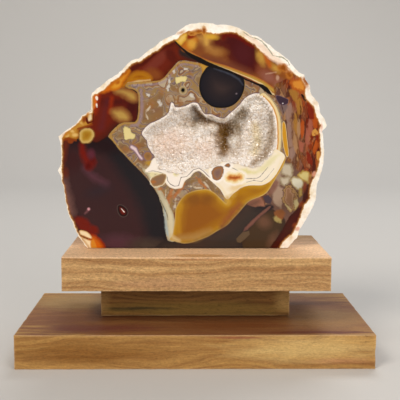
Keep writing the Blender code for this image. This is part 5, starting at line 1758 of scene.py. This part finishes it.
def build_stage():
    """A pale paper floor that bends up into a wall behind the stand."""
    floor = bmesh.new()
    profile = [(FLOOR_FRONT, 0.0), (FLOOR_BACK, 0.0)]
    for angle in BEND_ANGLES:
        profile.append((FLOOR_BACK + FLOOR_BEND * math.sin(angle), FLOOR_BEND - FLOOR_BEND * math.cos(angle)))
    profile.append((FLOOR_BACK + FLOOR_BEND, WALL_TOP))
    rows = [[floor.verts.new((x, y, z)) for x in (-HALF_FLOOR, HALF_FLOOR)] for y, z in profile]
    for near, far in zip(rows, rows[1:]):
        floor.faces.new((near[0], near[1], far[1], far[0]))
    mesh = bpy.data.meshes.new("studio_floor")
    floor.to_mesh(mesh)
    floor.free()
    mesh.shade_smooth()
    mesh.materials.append(plain("floor_paper", "#c9c7c4", 0.8))
    new_object("studio_floor", mesh)


def area_lamp(name, place, target, size, power, colour):
    data = bpy.data.lights.new(name, "AREA")
    data.shape = "RECTANGLE"
    data.size, data.size_y = size
    data.energy = power
    data.color = linear(colour)[:3]
    lamp = bpy.data.objects.new(name, data)
    lamp.location = place
    lamp.rotation_euler = (Vector(target) - Vector(place)).to_track_quat("-Z", "Y").to_euler()
    bpy.context.scene.collection.objects.link(lamp)


def build_lights():
    world = bpy.data.worlds.new("soft_room")
    bpy.context.scene.world = world
    world.use_nodes = True
    background = world.node_tree.nodes["Background"]
    background.inputs["Color"].default_value = linear("#ffffff")
    background.inputs["Strength"].default_value = ROOM_LIGHT
    for lamp in LAMPS:
        area_lamp(*lamp)
    bpy.context.scene.view_settings.view_transform = "Standard"


def main():
    make_camera()
    build_stage()
    build_lights()
    outline, widths = stone_outline()
    rind_border = agate_outline(outline, widths)
    mouth = roughened(stepped_loop(outline_of_pixels(HOLLOW_PX)), OUTLINE_CHIPS[1:], MOUTH_SEED)
    chalk = chalk_group()
    patterns = (chalk, moss_group(), breccia_group())
    materials = [hollow_wall(), rough_rind(chalk), sawn_foot()]
    materials += [polished_face(*patterns, left, right) for left, right in FACE_COLUMNS]
    stone = build_stone(outline, rind_border, mouth, materials)
    grain = wood_group()
    upper = wood("upper_wood", grain, "#9b7044", "#c69f6b", (0, 0, 0), 1.5, 0.15, UPPER_STAINS_AND_LIGHT)
    spacer = wood("spacer_wood", grain, "#6a431c", "#976c36", (300, 40, 90), 0.5, 0.4, SPACER_STAINS_AND_LIGHT)
    base = wood("base_wood", grain, "#8a5e30", "#b58a4c", (-500, 0, 30), 0.7, 0.2, BASE_STAINS_AND_LIGHT)
    pieces = [(stone, "agate_geode", "agate"), (build_crystals(stone, quartz()), None, "quartz_druse")]
    for replaced, slot, seed, stains, material in (
        ("upper_board", "upper_board_wood", 1.3, UPPER_STAINS_AND_LIGHT, upper),
        ("spacer_strip", "spacer_wood", 4.1, SPACER_STAINS_AND_LIGHT, spacer),
        ("base_board", "base_board_wood", 7.7, BASE_STAINS_AND_LIGHT, base),
    ):
        board = build_board(f"{replaced}_wood", replaced, seed, stains, material)
        pieces.append((board, replaced, slot))
    for piece, replaced, slot in pieces:
        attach(piece, "root")
        if replaced:
            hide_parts(replaced)


main()
